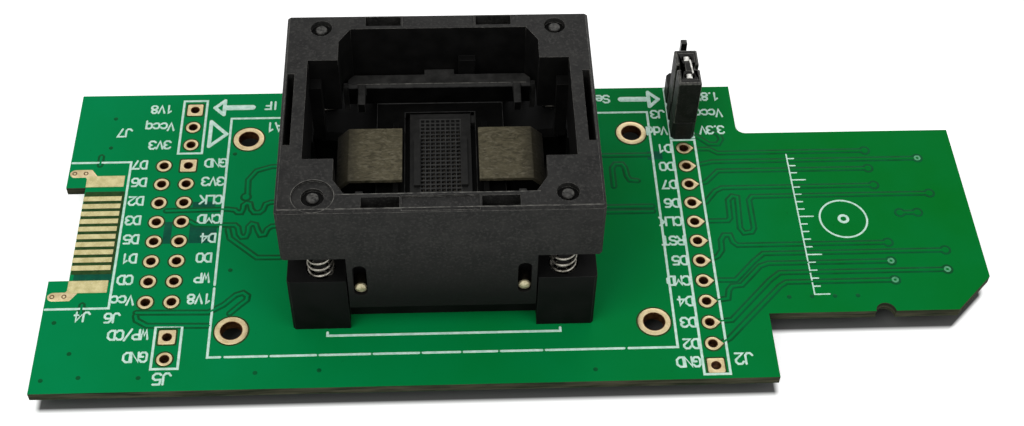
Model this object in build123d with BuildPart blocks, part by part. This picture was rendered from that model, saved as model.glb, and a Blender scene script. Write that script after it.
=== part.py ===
from build123d import *
from math import cos, pi, sin, sqrt
import os

# Test socket for a memory chip on its adapter board.
# Millimetres. +X runs towards the card tongue, +Y away from the front, +Z up.
# The origin is under the middle of the board, on the surface that the socket's pegs stand on.

# Circuit board
board_length = 94.0
board_width = 38.5
board_thickness = 1.0
board_stand = 2.1  # clear height under the board
tongue_length = 23.0
tongue_width = 24.0
tongue_offset = 0.2  # how far the tongue's middle lies off the board's middle
tongue_corner = 4.0
tongue_notch_radius = 1.0
tongue_notch_from_tip = 11.3
inner_corner_radius = 1.0
edge_notch_depth = 2.0
edge_notch_width = 12.1
plating = 0.05  # how far plated copper stands above the board

# Mounting holes, on a rectangle around the socket
mount_spacing_x = 41.1
mount_spacing_y = 25.0
mount_hole_radius = 1.1

# Header holes, all on one pitch
header_pitch = 2.54
header_hole_radius = 0.5
header_hole_sides = 8
long_header_from_tongue = 6.0
long_header_from_edge = 1.47  # its first holes, far and near, to the board's edges
double_header_from_end = 12.35
upper_header_from_edge = 2.35
upper_header_holes = 3
lower_header_from_edge = 6.15
lower_header_holes = 2
double_header_gap = 2.93  # the upper header's last hole to the double header's first

# Edge fingers on the left end and card contacts under the tongue
finger_count = 10
finger_pitch = 1.0
finger_width = 0.6
finger_length = 3.9
shield_pad_width = 1.5
shield_pad_gap = 1.3
card_contact_pitch = 2.5
card_contact_width = 1.7
card_contact_length = 4.2
card_contact_from_tip = 1.3
card_contact_margin = 1.1  # least board beside the outer contacts

# Selector header and its jumper
selector_pins = 3
pin_size = 0.64
pin_tip = 8.6  # above the board
pin_tail = 1.5  # below the board
pin_point = 0.18
pin_fit = 0.02
insulator_width = 2.5
insulator_height = 2.5
insulator_notch = 0.4
jumper_side_wall = 0.45
jumper_end_wall = 0.6
jumper_height = 6.05
jumper_edge = 0.15
jumper_waist_wall = 0.29  # along Y, from the waist to a cell
jumper_waist_depth = 0.45
jumper_wall_gap = 0.23  # clip to cavity wall
clip_sheet = 0.15
clip_height = 4.2
clip_lift = 0.9  # clip above the foot of the cap
clip_end_room = 0.16  # pin to the bent end of the clip
clip_mouth = 1.8
clip_pin_gap = 0.05
clip_back_gap = 0.05

# Test socket, heights measured from the top of the board
socket_x = -8.0
cover_length = 29.5
cover_width = 25.1
cover_wall_height = 6.81
cover_stroke = 3.0
cover_edge = 0.25
frame_side = 2.2  # beside the opening's wide middle
frame_end = 2.0
opening_shoulder = 2.87  # how much narrower the opening is beyond the latches
opening_corner_x = 1.08
opening_corner_y = 1.75
skirt_beyond_shaft = 1.15
skirt_thickness = 1.5
skirt_board_gap = 0.5  # when the cover is pressed
side_skirt_inset = 1.3  # from the end of the opening's wide middle
side_skirt_thickness = 1.45
sill_gap = 0.2  # when the cover is pressed
end_slot_inset = 1.48
end_slot_length = 3.46
end_slot_width = 1.25
end_slot_from_edge = 0.98
side_slot_from_edge = 0.7
side_slot_inset = 0.45
side_slot_width = 0.7
slot_depth = 5.0
tablet_gap = 0.16
tablet_inset = 0.3
tablet_depth = 0.15

# Corner springs and the posts inside them
corner_from_side = 3.35
corner_from_end = 1.85
corner_spring_radius = 1.25
corner_bore_radius = 1.4
corner_bore_floor = 4.6
corner_bore_depth = 2.37  # up into the cover
post_size = 1.1
post_gap = 0.15
spring_wire = 0.3
wire_fill = 0.86  # side of the square wire to the round one's diameter
corner_spring_turns = 7
coil_sides = 10
boss_radius = 1.05
boss_depth = 0.35
big_recess_radius = 1.9
big_recess_depth = 0.2

# Base
base_inset_x = 0.2  # cover's outside to the base's
base_inset_y = 0.05
block_over_shaft = 1.42
block_gap = 0.51  # under the cover's wall when it is pressed
base_floor = 1.6
base_edge = 0.25
recess_gap = 0.2  # end wall of the base to the cover's skirt
side_gap = 0.15  # side of a skirt to its recess
pedestal_over_shaft = 2.8
pedestal_inset = 0.1  # behind the nest's ends
hub_gap = 0.3
base_side_wall = 1.75
base_end_block = 6.2
side_window_sill = 2.2
peg_from_side = 4.05
peg_from_end = 3.5
peg_radius = 0.8
peg_fit = 0.05

# Contacts
contact_pitch = 0.5
contact_columns = 8
contact_rows = 17
contact_thickness = 0.12
contact_width = 0.16
contact_tip_drop = 0.08
comb_gap = 0.07
comb_slot_spare = 0.2
tail_plate_side = 1.0  # beyond the field of contacts
tail_plate_end = 1.25
tail_plate_thickness = 0.9
plate_fit = 0.05

# Sliding contact plate
slider_side = 1.0  # beyond the field of contacts
slider_end = 2.25
slider_thickness = 0.9
slider_lift = 0.05
slider_travel = 0.16
slider_wall_gap = 0.04  # contact to the hole's wall at either end of the travel
slider_side_gap = 0.05
rail_gap = 0.05
rail_width = 0.62
rail_half_width = 3.1
rail_height = 0.35
ear_gap = 0.4
ear_width = 1.6
ear_end_gap = 0.25
ear_thickness = 0.65
ear_bridge = 1.0
ear_roof_gap = 0.1
cam_gap = 0.03
cam_width = 1.45
cam_below_ear = 0.35
cam_root = 2.97  # up the cover's end wall
cam_depth = 0.7

# Package nest
nest_overhang = 0.4  # beyond the pedestal's sides
nest_end_gap = 0.95  # to the end of the cover's opening
nest_thickness = 0.95
nest_gap = 0.3
bar_width = 1.55
bar_height = 2.55
bar_side_gap = 0.58
bar_corner = 0.6
bar_lead_in = 0.3
bar_bump_half_length = 1.5
bar_bump = 0.7
arm_width = 0.75
arm_length = 2.45
arm_thickness = 1.2

# Latches, turning about shafts along Y
shaft_from_side = 7.05
shaft_height = 6.1
shaft_radius = 0.6
shaft_fit = 0.03
shaft_inset = 0.1  # behind the base's end
slot_fit = 0.05
slot_overrun = 0.15
hub_radius = 1.5
hub_end_gap = 0.25
web_inset = 0.35  # behind the pressure plate's end
web_inner = 0.9
web_corner = 0.4
nose_reach = 4.0
nose_overhang = 0.1
nose_bottom = 4.35
plate_top = 5.2
plate_sheet = 0.4
plate_bend = 1.2  # from above the shaft outwards to the bend
plate_flange = 1.2  # both out and down, at 45 degrees
plate_tail_gap = 1.55
nose_bar_inner = 3.1
nose_bar_outer = 3.6
nose_bar_top = 4.75
nose_bar_overhang = 1.15  # beyond the pressure plate's end
tail_width = 1.15
tail_height = 1.9
tail_reach = 4.1
tail_land = 0.8
tail_depth = 0.9
foot_reach = 4.3
foot_height = 0.9
foot_half_width = 1.3
pusher_reach = 3.7  # inner face of the cover's pusher, out from the shaft
pusher_gap = 0.25
pusher_half_width = 0.65
pusher_below_top = 2.34
latch_spring_reach = 3.8
latch_spring_radius = 0.9
latch_spring_turns = 3.5
latch_spring_sink = 0.3
latch_spring_gap = 0.2

# Places and sizes worked out from those above
board_bottom = board_stand
board_top = board_stand + board_thickness
left_end = -board_length / 2
tongue_tip = board_length / 2
body_right = tongue_tip - tongue_length
tongue_near = tongue_offset - tongue_width / 2
tongue_far = tongue_offset + tongue_width / 2
card_contact_room = tongue_width - card_contact_width - 2 * card_contact_margin
card_contact_count = int(card_contact_room / card_contact_pitch) + 1
shield_pad_y = (finger_count - 1) / 2 * finger_pitch + (finger_width + shield_pad_width) / 2 + shield_pad_gap

long_header_x = body_right - long_header_from_tongue
long_header_y = board_width / 2 - long_header_from_edge
long_header_holes = int(2 * long_header_y / header_pitch + 0.01) + 1  # the far three hold the selector's pins
double_header_x = left_end + double_header_from_end
upper_header_y = board_width / 2 - upper_header_from_edge
lower_header_y = lower_header_from_edge - board_width / 2
double_header_y = upper_header_y - (upper_header_holes - 1) * header_pitch - double_header_gap
double_header_rows = int((double_header_y - lower_header_y) / header_pitch)
selector_y = long_header_y - (selector_pins - 1) / 2 * header_pitch
jumper_y = long_header_y - (selector_pins - 1.5) * header_pitch
clip_inner_x = pin_size / 2 + clip_pin_gap
clip_inner_y = header_pitch / 2 + pin_size / 2 + clip_end_room
cell_width = 2 * (clip_inner_x + clip_sheet + jumper_wall_gap)
cell_length = 2 * (clip_inner_y - header_pitch / 2 + clip_sheet)
jumper_width = cell_width + 2 * jumper_side_wall
jumper_length = header_pitch + cell_length + 2 * jumper_end_wall
jumper_waist_width = header_pitch - cell_length - 2 * jumper_waist_wall

base_length = cover_length - 2 * base_inset_x
base_width = cover_width - 2 * base_inset_y
shaft_x = cover_length / 2 - shaft_from_side
shaft_end = base_width / 2 - shaft_inset
slot_half_width = shaft_radius + slot_fit
base_block_top = shaft_height + block_over_shaft
pedestal_top = shaft_height + pedestal_over_shaft
latch_well_half_length = base_length / 2 - base_side_wall
latch_well_half_width = base_width / 2 - base_end_block
peg_x = base_length / 2 - peg_from_side
peg_y = base_width / 2 - peg_from_end
cover_wall_bottom = base_block_top + cover_stroke + block_gap
cover_top = cover_wall_bottom + cover_wall_height
skirt_bottom = cover_stroke + skirt_board_gap
side_skirt_bottom = side_window_sill + cover_stroke + sill_gap
opening_half_length = cover_length / 2 - frame_side
opening_half_width = cover_width / 2 - frame_end
opening_half_waist = latch_well_half_width
opening_half_end = opening_half_length - opening_shoulder
opening_half_tip = opening_half_end - opening_corner_x
opening_straight_end = opening_half_width - opening_corner_y
skirt_half_length = shaft_x + skirt_beyond_shaft
side_skirt_half_width = opening_half_waist - side_skirt_inset
end_slot_x = opening_half_tip - end_slot_inset - end_slot_length / 2
end_slot_y = cover_width / 2 - end_slot_from_edge
side_slot_x = cover_length / 2 - side_slot_from_edge
side_slot_length = 2 * (side_skirt_half_width - side_slot_inset)
tablet_half_length = end_slot_x - end_slot_length / 2 - tablet_gap
corner_x = cover_length / 2 - corner_from_side
corner_y = cover_width / 2 - corner_from_end
corner_bore_roof = cover_wall_bottom + corner_bore_depth
post_end = corner_bore_floor + cover_stroke + post_gap
skirt_inner = cover_width / 2 - skirt_thickness
end_wall_outer = skirt_inner - recess_gap
recess_half_length = skirt_half_length + side_gap

contact_field_x = contact_columns * contact_pitch
contact_field_y = contact_rows * contact_pitch
comb_slot_width = contact_thickness + 2 * comb_gap
tail_plate_length = contact_field_x + 2 * tail_plate_side
tail_plate_width = contact_field_y + 2 * tail_plate_end
slider_half_length = contact_field_x / 2 + slider_side
slider_half_width = contact_field_y / 2 + slider_end
slider_hole_x = contact_thickness + slider_travel + 2 * slider_wall_gap
slider_hole_y = contact_width + 2 * slider_side_gap
slider_bottom = pedestal_top + slider_lift
slider_top = slider_bottom + slider_thickness
contact_top = slider_top - contact_tip_drop
contact_shift = slider_hole_x / 2 - contact_thickness / 2 - slider_wall_gap
rail_inner = (contact_field_x - contact_pitch + slider_hole_x) / 2 + rail_gap
rail_outer = rail_inner + rail_width
ear_left = slider_half_length + ear_gap
ear_right = ear_left + ear_width
ear_end = opening_half_width - ear_end_gap
cam_slope = slider_travel / cover_stroke
cam_slot_inner = opening_half_width - cam_depth - side_gap
cam_bottom = slider_bottom - cam_below_ear
cam_top = cover_wall_bottom + cam_root

pedestal_half_length = shaft_x - hub_radius - hub_gap
nest_half_length = pedestal_half_length + nest_overhang
nest_half_width = opening_half_width - nest_end_gap
pedestal_half_width = nest_half_width - pedestal_inset
nest_bottom = pedestal_top
nest_top = nest_bottom + nest_thickness
bar_inner = nest_half_width - bar_width
bar_top = nest_top + bar_height
bar_half_length = opening_half_end - bar_side_gap
arm_end = bar_inner - arm_length
hub_half_width = latch_well_half_width - hub_end_gap
tail_inner = hub_half_width - tail_width
tail_middle = (tail_inner + hub_half_width) / 2
plate_half_width = tail_inner - plate_tail_gap
web_half_width = plate_half_width - web_inset
nose_bar_half_width = plate_half_width + nose_bar_overhang
pusher_bottom = shaft_height + tail_height + pusher_gap
pusher_top = cover_top - pusher_below_top


def level(height):
    # Horizontal plane over the socket's centre, its height taken from the board's top.
    return Plane((socket_x, 0, board_top + height))


def end_view(side):
    # Upright plane across a shaft, with its x pointing inwards from the left shaft (side -1)
    # and outwards from the right one (side 1).
    return Plane((socket_x + side * shaft_x, 0, board_top + shaft_height), x_dir=(1, 0, 0), z_dir=(0, -1, 0))


def both_ends(x, y):
    return [(x, y), (x, -y)]


def four_corners(x, y):
    return [(x, y), (-x, y), (x, -y), (-x, -y)]


def header_points():
    # Every header hole, as columns of points that step towards the front.
    def column(x, y, count):
        return [(x, y - step * header_pitch) for step in range(count)]

    points = column(long_header_x, long_header_y, long_header_holes)
    for place in range(2):
        points += column(double_header_x - place * header_pitch, double_header_y, double_header_rows)
    points += column(double_header_x, upper_header_y, upper_header_holes)
    points += column(double_header_x, lower_header_y, lower_header_holes)
    return points


# Board with its tongue, edge notch and drilled holes
def circuit_board():
    with BuildPart() as board:
        with BuildSketch(Plane.XY.offset(board_bottom)) as outline:
            with BuildLine():
                Polyline(
                    (left_end, -board_width / 2),
                    (body_right, -board_width / 2),
                    (body_right, tongue_near),
                    (tongue_tip - tongue_corner, tongue_near),
                    (tongue_tip, tongue_near + tongue_corner),
                    (tongue_tip, tongue_far),
                    (body_right, tongue_far),
                    (body_right, board_width / 2),
                    (left_end, board_width / 2),
                    (left_end, edge_notch_width / 2),
                    (left_end + edge_notch_depth, edge_notch_width / 2),
                    (left_end + edge_notch_depth, -edge_notch_width / 2),
                    (left_end, -edge_notch_width / 2),
                    close=True,
                )
            make_face()
            corner = (body_right, tongue_far)
            fillet(
                outline.vertices().sort_by(lambda v: abs(v.X - corner[0]) + abs(v.Y - corner[1]))[0],
                radius=inner_corner_radius,
            )
            with Locations((tongue_tip - tongue_notch_from_tip, tongue_near)):
                Circle(tongue_notch_radius, mode=Mode.SUBTRACT)
        extrude(amount=board_thickness)
        with BuildSketch(Plane.XY.offset(board_bottom)):
            with Locations(*header_points()):
                RegularPolygon(header_hole_radius, header_hole_sides)
            with Locations((socket_x, 0)):
                with GridLocations(mount_spacing_x, mount_spacing_y, 2, 2):
                    Circle(mount_hole_radius)
                with GridLocations(2 * peg_x, 2 * peg_y, 2, 2):
                    Circle(peg_radius + peg_fit)
        extrude(amount=board_thickness, mode=Mode.SUBTRACT)
    return board.part


# Fingers behind the edge notch, with a wide shield pad at each side
def edge_fingers():
    finger_x = left_end + edge_notch_depth + finger_length / 2
    with BuildPart() as fingers:
        with BuildSketch(Plane.XY.offset(board_top)):
            with Locations((finger_x, 0)):
                with GridLocations(1, finger_pitch, 1, finger_count):
                    Rectangle(finger_length, finger_width)
            with Locations(*both_ends(finger_x, shield_pad_y)):
                Rectangle(finger_length, shield_pad_width)
        extrude(amount=plating)
    return fingers.part


# Card contacts under the tongue's end; the one beside the cut corner is set back
def card_contacts():
    middle_x = tongue_tip - card_contact_from_tip - card_contact_length / 2
    first_y = tongue_offset + (card_contact_count - 1) / 2 * card_contact_pitch
    with BuildPart() as contacts:
        with BuildSketch(Plane.XY.offset(board_bottom - plating)):
            for place in range(card_contact_count):
                last = place == card_contact_count - 1
                x = middle_x - (tongue_corner / 2 + card_contact_from_tip if last else 0)
                with Locations((x, first_y - place * card_contact_pitch)):
                    Rectangle(card_contact_length, card_contact_width)
        extrude(amount=plating)
    return contacts.part


# Insulator strip of the selector header, notched between its cells
def header_insulator():
    with BuildPart() as strip:
        with BuildSketch(Plane.XY.offset(board_top)):
            with Locations((long_header_x, selector_y)):
                Rectangle(insulator_width, selector_pins * header_pitch)
                for side in (-1, 1):
                    with Locations((side * insulator_width / 2, 0)):
                        with GridLocations(1, header_pitch, 1, selector_pins + 1):
                            RegularPolygon(insulator_notch, 4, mode=Mode.SUBTRACT)
                with GridLocations(1, header_pitch, 1, selector_pins):
                    Rectangle(pin_size + 2 * pin_fit, pin_size + 2 * pin_fit, mode=Mode.SUBTRACT)
        extrude(amount=insulator_height)
    return strip.part


# Square pins of the selector header, pointed at both ends
def header_pins():
    with BuildPart() as pins:
        with BuildSketch(Plane.XY.offset(board_bottom - pin_tail)):
            with Locations((long_header_x, selector_y)):
                with GridLocations(1, header_pitch, 1, selector_pins):
                    Rectangle(pin_size, pin_size)
        extrude(amount=pin_tail + board_thickness + pin_tip)
        ends = pins.faces().filter_by(Axis.Z)
        chamfer(ends.edges(), length=pin_point)
    return pins.part


# Open-top jumper cap with a waist between its two cells
def jumper_cap():
    with BuildPart() as cap:
        with BuildSketch(Plane.XY.offset(board_top + insulator_height)):
            with Locations((long_header_x, jumper_y)):
                Rectangle(jumper_width, jumper_length)
                with GridLocations(jumper_width, 1, 2, 1):
                    Rectangle(2 * jumper_waist_depth, jumper_waist_width, mode=Mode.SUBTRACT)
                with GridLocations(1, header_pitch, 1, 2):
                    Rectangle(cell_width, cell_length, mode=Mode.SUBTRACT)
        extrude(amount=jumper_height)
        with BuildSketch(Plane.XY.offset(board_top + insulator_height + clip_lift)):
            with Locations((long_header_x - clip_inner_x - clip_sheet / 2, jumper_y)):
                Rectangle(clip_sheet + 2 * clip_back_gap, header_pitch)
        extrude(amount=jumper_height, mode=Mode.SUBTRACT)
        chamfer(cap.faces().sort_by(Axis.Z)[-1].outer_wire().edges(), length=jumper_edge)
    return cap.part


# Sheet clip inside the cap: a back strip with both ends bent round the pins
def jumper_clip():
    with BuildPart() as clip:
        with BuildSketch(Plane.XY.offset(board_top + insulator_height + clip_lift)):
            with Locations((long_header_x, jumper_y)):
                Rectangle(2 * (clip_inner_x + clip_sheet), 2 * (clip_inner_y + clip_sheet))
                Rectangle(2 * clip_inner_x, 2 * clip_inner_y, mode=Mode.SUBTRACT)
                with Locations((clip_inner_x + clip_sheet / 2, 0)):
                    Rectangle(2 * clip_sheet, clip_mouth, mode=Mode.SUBTRACT)
        extrude(amount=clip_height)
    return clip.part


# Base: corner blocks round the spring bores, end walls and lugs for the shafts, and the pedestal
def socket_base():
    with BuildPart() as base:
        with BuildSketch(level(0)):
            Rectangle(base_length, base_width)
        extrude(amount=base_block_top)
        chamfer(base.edges().filter_by(Axis.Z), length=base_edge)
        # Recesses for the cover's end skirts, open down to the board
        with BuildSketch(level(0)):
            with Locations(*both_ends(0, (end_wall_outer + base_width / 2 + 1) / 2)):
                Rectangle(2 * recess_half_length, base_width / 2 + 1 - end_wall_outer)
        extrude(amount=base_block_top, mode=Mode.SUBTRACT)
        # Well for the latches, from one side wall to the other
        with BuildSketch(level(base_floor)):
            Rectangle(2 * latch_well_half_length, 2 * latch_well_half_width)
        extrude(amount=base_block_top, mode=Mode.SUBTRACT)
        # Side windows that the cover's side skirts come down into
        with BuildSketch(level(side_window_sill)):
            Rectangle(base_length + 1, 2 * (side_skirt_half_width + side_gap))
        extrude(amount=base_block_top, mode=Mode.SUBTRACT)
        # Pedestal under the nest
        with BuildSketch(level(base_floor)):
            Rectangle(2 * pedestal_half_length, 2 * pedestal_half_width)
        extrude(amount=pedestal_top - base_floor)
        # Shaft holes through the end blocks
        for side in (-1, 1):
            with BuildSketch(end_view(side)):
                Circle(shaft_radius + shaft_fit)
            extrude(amount=end_wall_outer, both=True, mode=Mode.SUBTRACT)
        # Corner spring bores
        with BuildSketch(level(corner_bore_floor)):
            with Locations(*four_corners(corner_x, corner_y)):
                Circle(corner_bore_radius)
        extrude(amount=base_block_top, mode=Mode.SUBTRACT)
        # Seats for the latch springs
        with BuildSketch(level(base_floor - latch_spring_sink)):
            spring_x = shaft_x + latch_spring_reach
            with Locations((spring_x, 0), (-spring_x, 0)):
                Circle(latch_spring_radius + latch_spring_gap)
        extrude(amount=latch_spring_sink, mode=Mode.SUBTRACT)
        # Clearance for the cover's two cam legs
        with BuildSketch(level(cam_bottom - cover_stroke - side_gap)):
            cam_middle = ear_left - cam_width / 2
            with Locations(*both_ends(cam_middle, cam_slot_inner + end_wall_outer / 2)):
                Rectangle(cam_width + 2 * nest_gap, end_wall_outer)
        extrude(amount=base_block_top, mode=Mode.SUBTRACT)
        # Comb slots that hold the contacts, and the pocket of the tail plate
        with BuildSketch(level(0)):
            with Locations((contact_shift, 0)):
                with GridLocations(contact_pitch, 1, contact_columns, 1):
                    Rectangle(comb_slot_width, contact_field_y + comb_slot_spare)
        extrude(amount=pedestal_top, mode=Mode.SUBTRACT)
        with BuildSketch(level(0)):
            Rectangle(tail_plate_length + 2 * plate_fit, tail_plate_width + 2 * plate_fit)
        extrude(amount=tail_plate_thickness, mode=Mode.SUBTRACT)
        # Locating pegs through the board
        with BuildSketch(level(-board_top)):
            with GridLocations(2 * peg_x, 2 * peg_y, 2, 2):
                Circle(peg_radius)
        extrude(amount=board_top)
    return base.part


# Contacts, one strip for each ball of the chip
def contact_pins():
    with BuildPart() as contacts:
        with BuildSketch(level(0)):
            with Locations((contact_shift, 0)):
                with GridLocations(contact_pitch, contact_pitch, contact_columns, contact_rows):
                    Rectangle(contact_thickness, contact_width)
        extrude(amount=contact_top)
    return contacts.part


# Plate in the base's underside that keeps the tails of each column in line
def tail_plate():
    with BuildPart() as plate:
        with BuildSketch(level(0)):
            Rectangle(tail_plate_length, tail_plate_width)
            with Locations((contact_shift, 0)):
                with GridLocations(contact_pitch, 1, contact_columns, 1):
                    Rectangle(comb_slot_width, contact_field_y + comb_slot_spare, mode=Mode.SUBTRACT)
        extrude(amount=tail_plate_thickness)
    return plate.part


# Sliding plate: a hole for each contact, two rails for the chip, and an ear at each end for the cam
def contact_slider():
    with BuildPart() as slider:
        with BuildSketch(level(slider_bottom)):
            Rectangle(2 * slider_half_length, 2 * slider_half_width)
            with GridLocations(contact_pitch, contact_pitch, contact_columns, contact_rows):
                Rectangle(slider_hole_x, slider_hole_y, mode=Mode.SUBTRACT)
        extrude(amount=slider_thickness)
        with BuildSketch(level(slider_top)):
            rail_x = (rail_inner + rail_outer) / 2
            with Locations((rail_x, 0), (-rail_x, 0)):
                Rectangle(rail_outer - rail_inner, 2 * rail_half_width)
        extrude(amount=rail_height)
        with BuildSketch(level(slider_bottom)):
            bridge_left = rail_outer
            with Locations(*both_ends((bridge_left + ear_right) / 2, slider_half_width - ear_bridge / 2)):
                Rectangle(ear_right - bridge_left, ear_bridge)
            ear_middle = (ear_left + ear_right) / 2
            with Locations(*both_ends(ear_middle, (slider_half_width + ear_end) / 2)):
                Rectangle(ear_right - ear_left, ear_end - slider_half_width)
        extrude(amount=ear_thickness)
    return slider.part


# Nest that guides the chip: a plate round the slider and a raised bar with two arms at each end
def package_nest():
    window_half_length = slider_half_length + slider_travel + nest_gap
    pocket_right = ear_right + slider_travel + nest_gap
    with BuildPart() as nest:
        with BuildSketch(level(nest_bottom)):
            Rectangle(2 * nest_half_length, 2 * nest_half_width)
        extrude(amount=nest_thickness)
        with BuildSketch(level(nest_top)) as bars:
            bar_width = nest_half_width - bar_inner
            with Locations(*both_ends(0, bar_inner + bar_width / 2)):
                Rectangle(2 * bar_half_length, bar_width)
            outer = bars.vertices().filter_by(lambda v: abs(v.Y) > nest_half_width - 0.01)
            chamfer(outer, length=bar_corner)
            with Locations(*both_ends(0, nest_half_width + bar_bump / 2)):
                Rectangle(2 * bar_bump_half_length, bar_bump)
        extrude(amount=bar_top - nest_top)
        chamfer(
            nest.edges().filter_by(Axis.X).filter_by(lambda e: abs(abs(e.center().Y) - bar_inner) < 0.01)
            .filter_by(lambda e: abs(e.center().Z - board_top - bar_top) < 0.01),
            length=bar_lead_in,
        )
        with BuildSketch(level(bar_top - arm_thickness)):
            with Locations(*four_corners(shaft_x, (arm_end + bar_inner + bar_lead_in) / 2)):
                Rectangle(arm_width, bar_inner + bar_lead_in - arm_end)
        extrude(amount=arm_thickness)
        # Window for the contact plate, and the pockets that its ears slide in
        with BuildSketch(level(nest_bottom)):
            Rectangle(2 * window_half_length, 2 * (slider_half_width + nest_gap))
        extrude(amount=nest_thickness, mode=Mode.SUBTRACT)
        with BuildSketch(level(nest_bottom)):
            bridge_middle = (pocket_right - window_half_length) / 2
            with Locations(*both_ends(bridge_middle, slider_half_width - ear_bridge / 2)):
                Rectangle(pocket_right + window_half_length, ear_bridge + 2 * nest_gap)
            channel_left = ear_left - nest_gap
            channel_middle = (channel_left + pocket_right) / 2
            with Locations(*both_ends(channel_middle, (slider_half_width + nest_half_width + 1) / 2)):
                Rectangle(pocket_right - channel_left, nest_half_width + 1 - slider_half_width)
        extrude(amount=slider_lift + ear_thickness + ear_roof_gap, mode=Mode.SUBTRACT)
    return nest.part


# Operating cover: the frame, its skirts, spring bores with posts, latch pushers and cam legs
def operating_cover():
    with BuildPart() as cover:
        with BuildSketch(level(cover_wall_bottom)):
            Rectangle(cover_length, cover_width)
        extrude(amount=cover_top - cover_wall_bottom)
        with BuildSketch(level(skirt_bottom)):
            with Locations(*both_ends(0, (skirt_inner + cover_width / 2) / 2)):
                Rectangle(2 * skirt_half_length, skirt_thickness)
        extrude(amount=cover_wall_bottom - skirt_bottom)
        with BuildSketch(level(side_skirt_bottom)):
            side_x = (cover_length - side_skirt_thickness) / 2
            with Locations((side_x, 0), (-side_x, 0)):
                Rectangle(side_skirt_thickness, 2 * side_skirt_half_width)
        extrude(amount=cover_wall_bottom - side_skirt_bottom)
        chamfer(cover.edges().filter_by(Axis.Z).group_by(lambda e: corner_distance(e))[-1], length=cover_edge)
        chamfer(cover.faces().sort_by(Axis.Z)[-1].outer_wire().edges(), length=cover_edge)
        # Opening that the chip drops through
        with BuildSketch(level(cover_wall_bottom)):
            Rectangle(2 * opening_half_length, 2 * opening_half_waist)
            with BuildLine():
                Polyline(
                    (opening_half_end, opening_straight_end),
                    (opening_half_tip, opening_half_width),
                    (-opening_half_tip, opening_half_width),
                    (-opening_half_end, opening_straight_end),
                    (-opening_half_end, -opening_straight_end),
                    (-opening_half_tip, -opening_half_width),
                    (opening_half_tip, -opening_half_width),
                    (opening_half_end, -opening_straight_end),
                    close=True,
                )
            make_face()
        extrude(amount=cover_top - cover_wall_bottom, mode=Mode.SUBTRACT)
        # Slots in the rim, and the shallow tablets between them
        with BuildSketch(level(cover_top - slot_depth)):
            with Locations(*four_corners(end_slot_x, end_slot_y)):
                Rectangle(end_slot_length, end_slot_width)
            with Locations((side_slot_x, 0), (-side_slot_x, 0)):
                Rectangle(side_slot_width, side_slot_length)
        extrude(amount=slot_depth, mode=Mode.SUBTRACT)
        with BuildSketch(level(cover_top - tablet_depth)):
            with Locations(*both_ends(0, (opening_half_width + cover_width / 2) / 2 + tablet_inset)):
                Rectangle(2 * tablet_half_length, cover_width / 2 - opening_half_width)
        extrude(amount=tablet_depth, mode=Mode.SUBTRACT)
        # Slots of the end skirts, which ride on the latch shafts
        slot_low = shaft_height - (slot_half_width - shaft_radius)
        slot_high = shaft_height + cover_stroke + slot_overrun
        for side in (-1, 1):
            with BuildSketch(end_view(side)):
                with Locations((0, (slot_low + slot_high) / 2 - shaft_height)):
                    SlotCenterToCenter(slot_high - slot_low, 2 * slot_half_width, rotation=90)
            extrude(amount=cover_width, both=True, mode=Mode.SUBTRACT)
        # Corner bores, each with a post down its middle and a round recess above it
        with BuildSketch(level(cover_wall_bottom)):
            with Locations(*four_corners(corner_x, corner_y)):
                Circle(corner_bore_radius)
        extrude(amount=corner_bore_roof - cover_wall_bottom, mode=Mode.SUBTRACT)
        with BuildSketch(level(post_end)):
            with Locations(*four_corners(corner_x, corner_y)):
                Rectangle(post_size, post_size)
        extrude(amount=corner_bore_roof - post_end)
        with BuildSketch(level(cover_top - big_recess_depth)):
            with Locations((-corner_x, -corner_y)):
                Circle(big_recess_radius)
        extrude(amount=big_recess_depth, mode=Mode.SUBTRACT)
        with BuildSketch(level(cover_top - big_recess_depth - boss_depth)):
            with Locations(*four_corners(corner_x, corner_y)):
                Circle(boss_radius)
        extrude(amount=boss_depth + big_recess_depth, mode=Mode.SUBTRACT)
        # Pushers over the tails of the latches
        with BuildSketch(level(pusher_bottom)):
            pusher_inner = shaft_x + pusher_reach
            pusher_middle = (pusher_inner + opening_half_length) / 2
            with Locations(*four_corners(pusher_middle, tail_middle)):
                Rectangle(opening_half_length - pusher_inner, 2 * pusher_half_width)
        extrude(amount=pusher_top - pusher_bottom)
        # Cam legs that push the slider's ears
        for end in (-1, 1):
            leg_outer = opening_half_width
            leg_plane = Plane(
                (socket_x, end * leg_outer, board_top),
                x_dir=(1, 0, 0),
                z_dir=(0, -1, 0),
            )
            ear_top = slider_bottom + ear_thickness
            face_low = ear_left - cam_gap + cam_slope * (cam_bottom - ear_top)
            face_high = ear_left - cam_gap + cam_slope * (cam_top - ear_top)
            with BuildSketch(leg_plane):
                with BuildLine():
                    Polyline(
                        (ear_left - cam_width, cam_bottom),
                        (face_low, cam_bottom),
                        (face_high, cam_top),
                        (ear_left - cam_width, cam_top),
                        close=True,
                    )
                make_face()
            extrude(amount=end * cam_depth)
    return cover.part


def corner_distance(edge):
    place = edge.center()
    return round(abs(place.X - socket_x) + abs(place.Y), 3)


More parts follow.
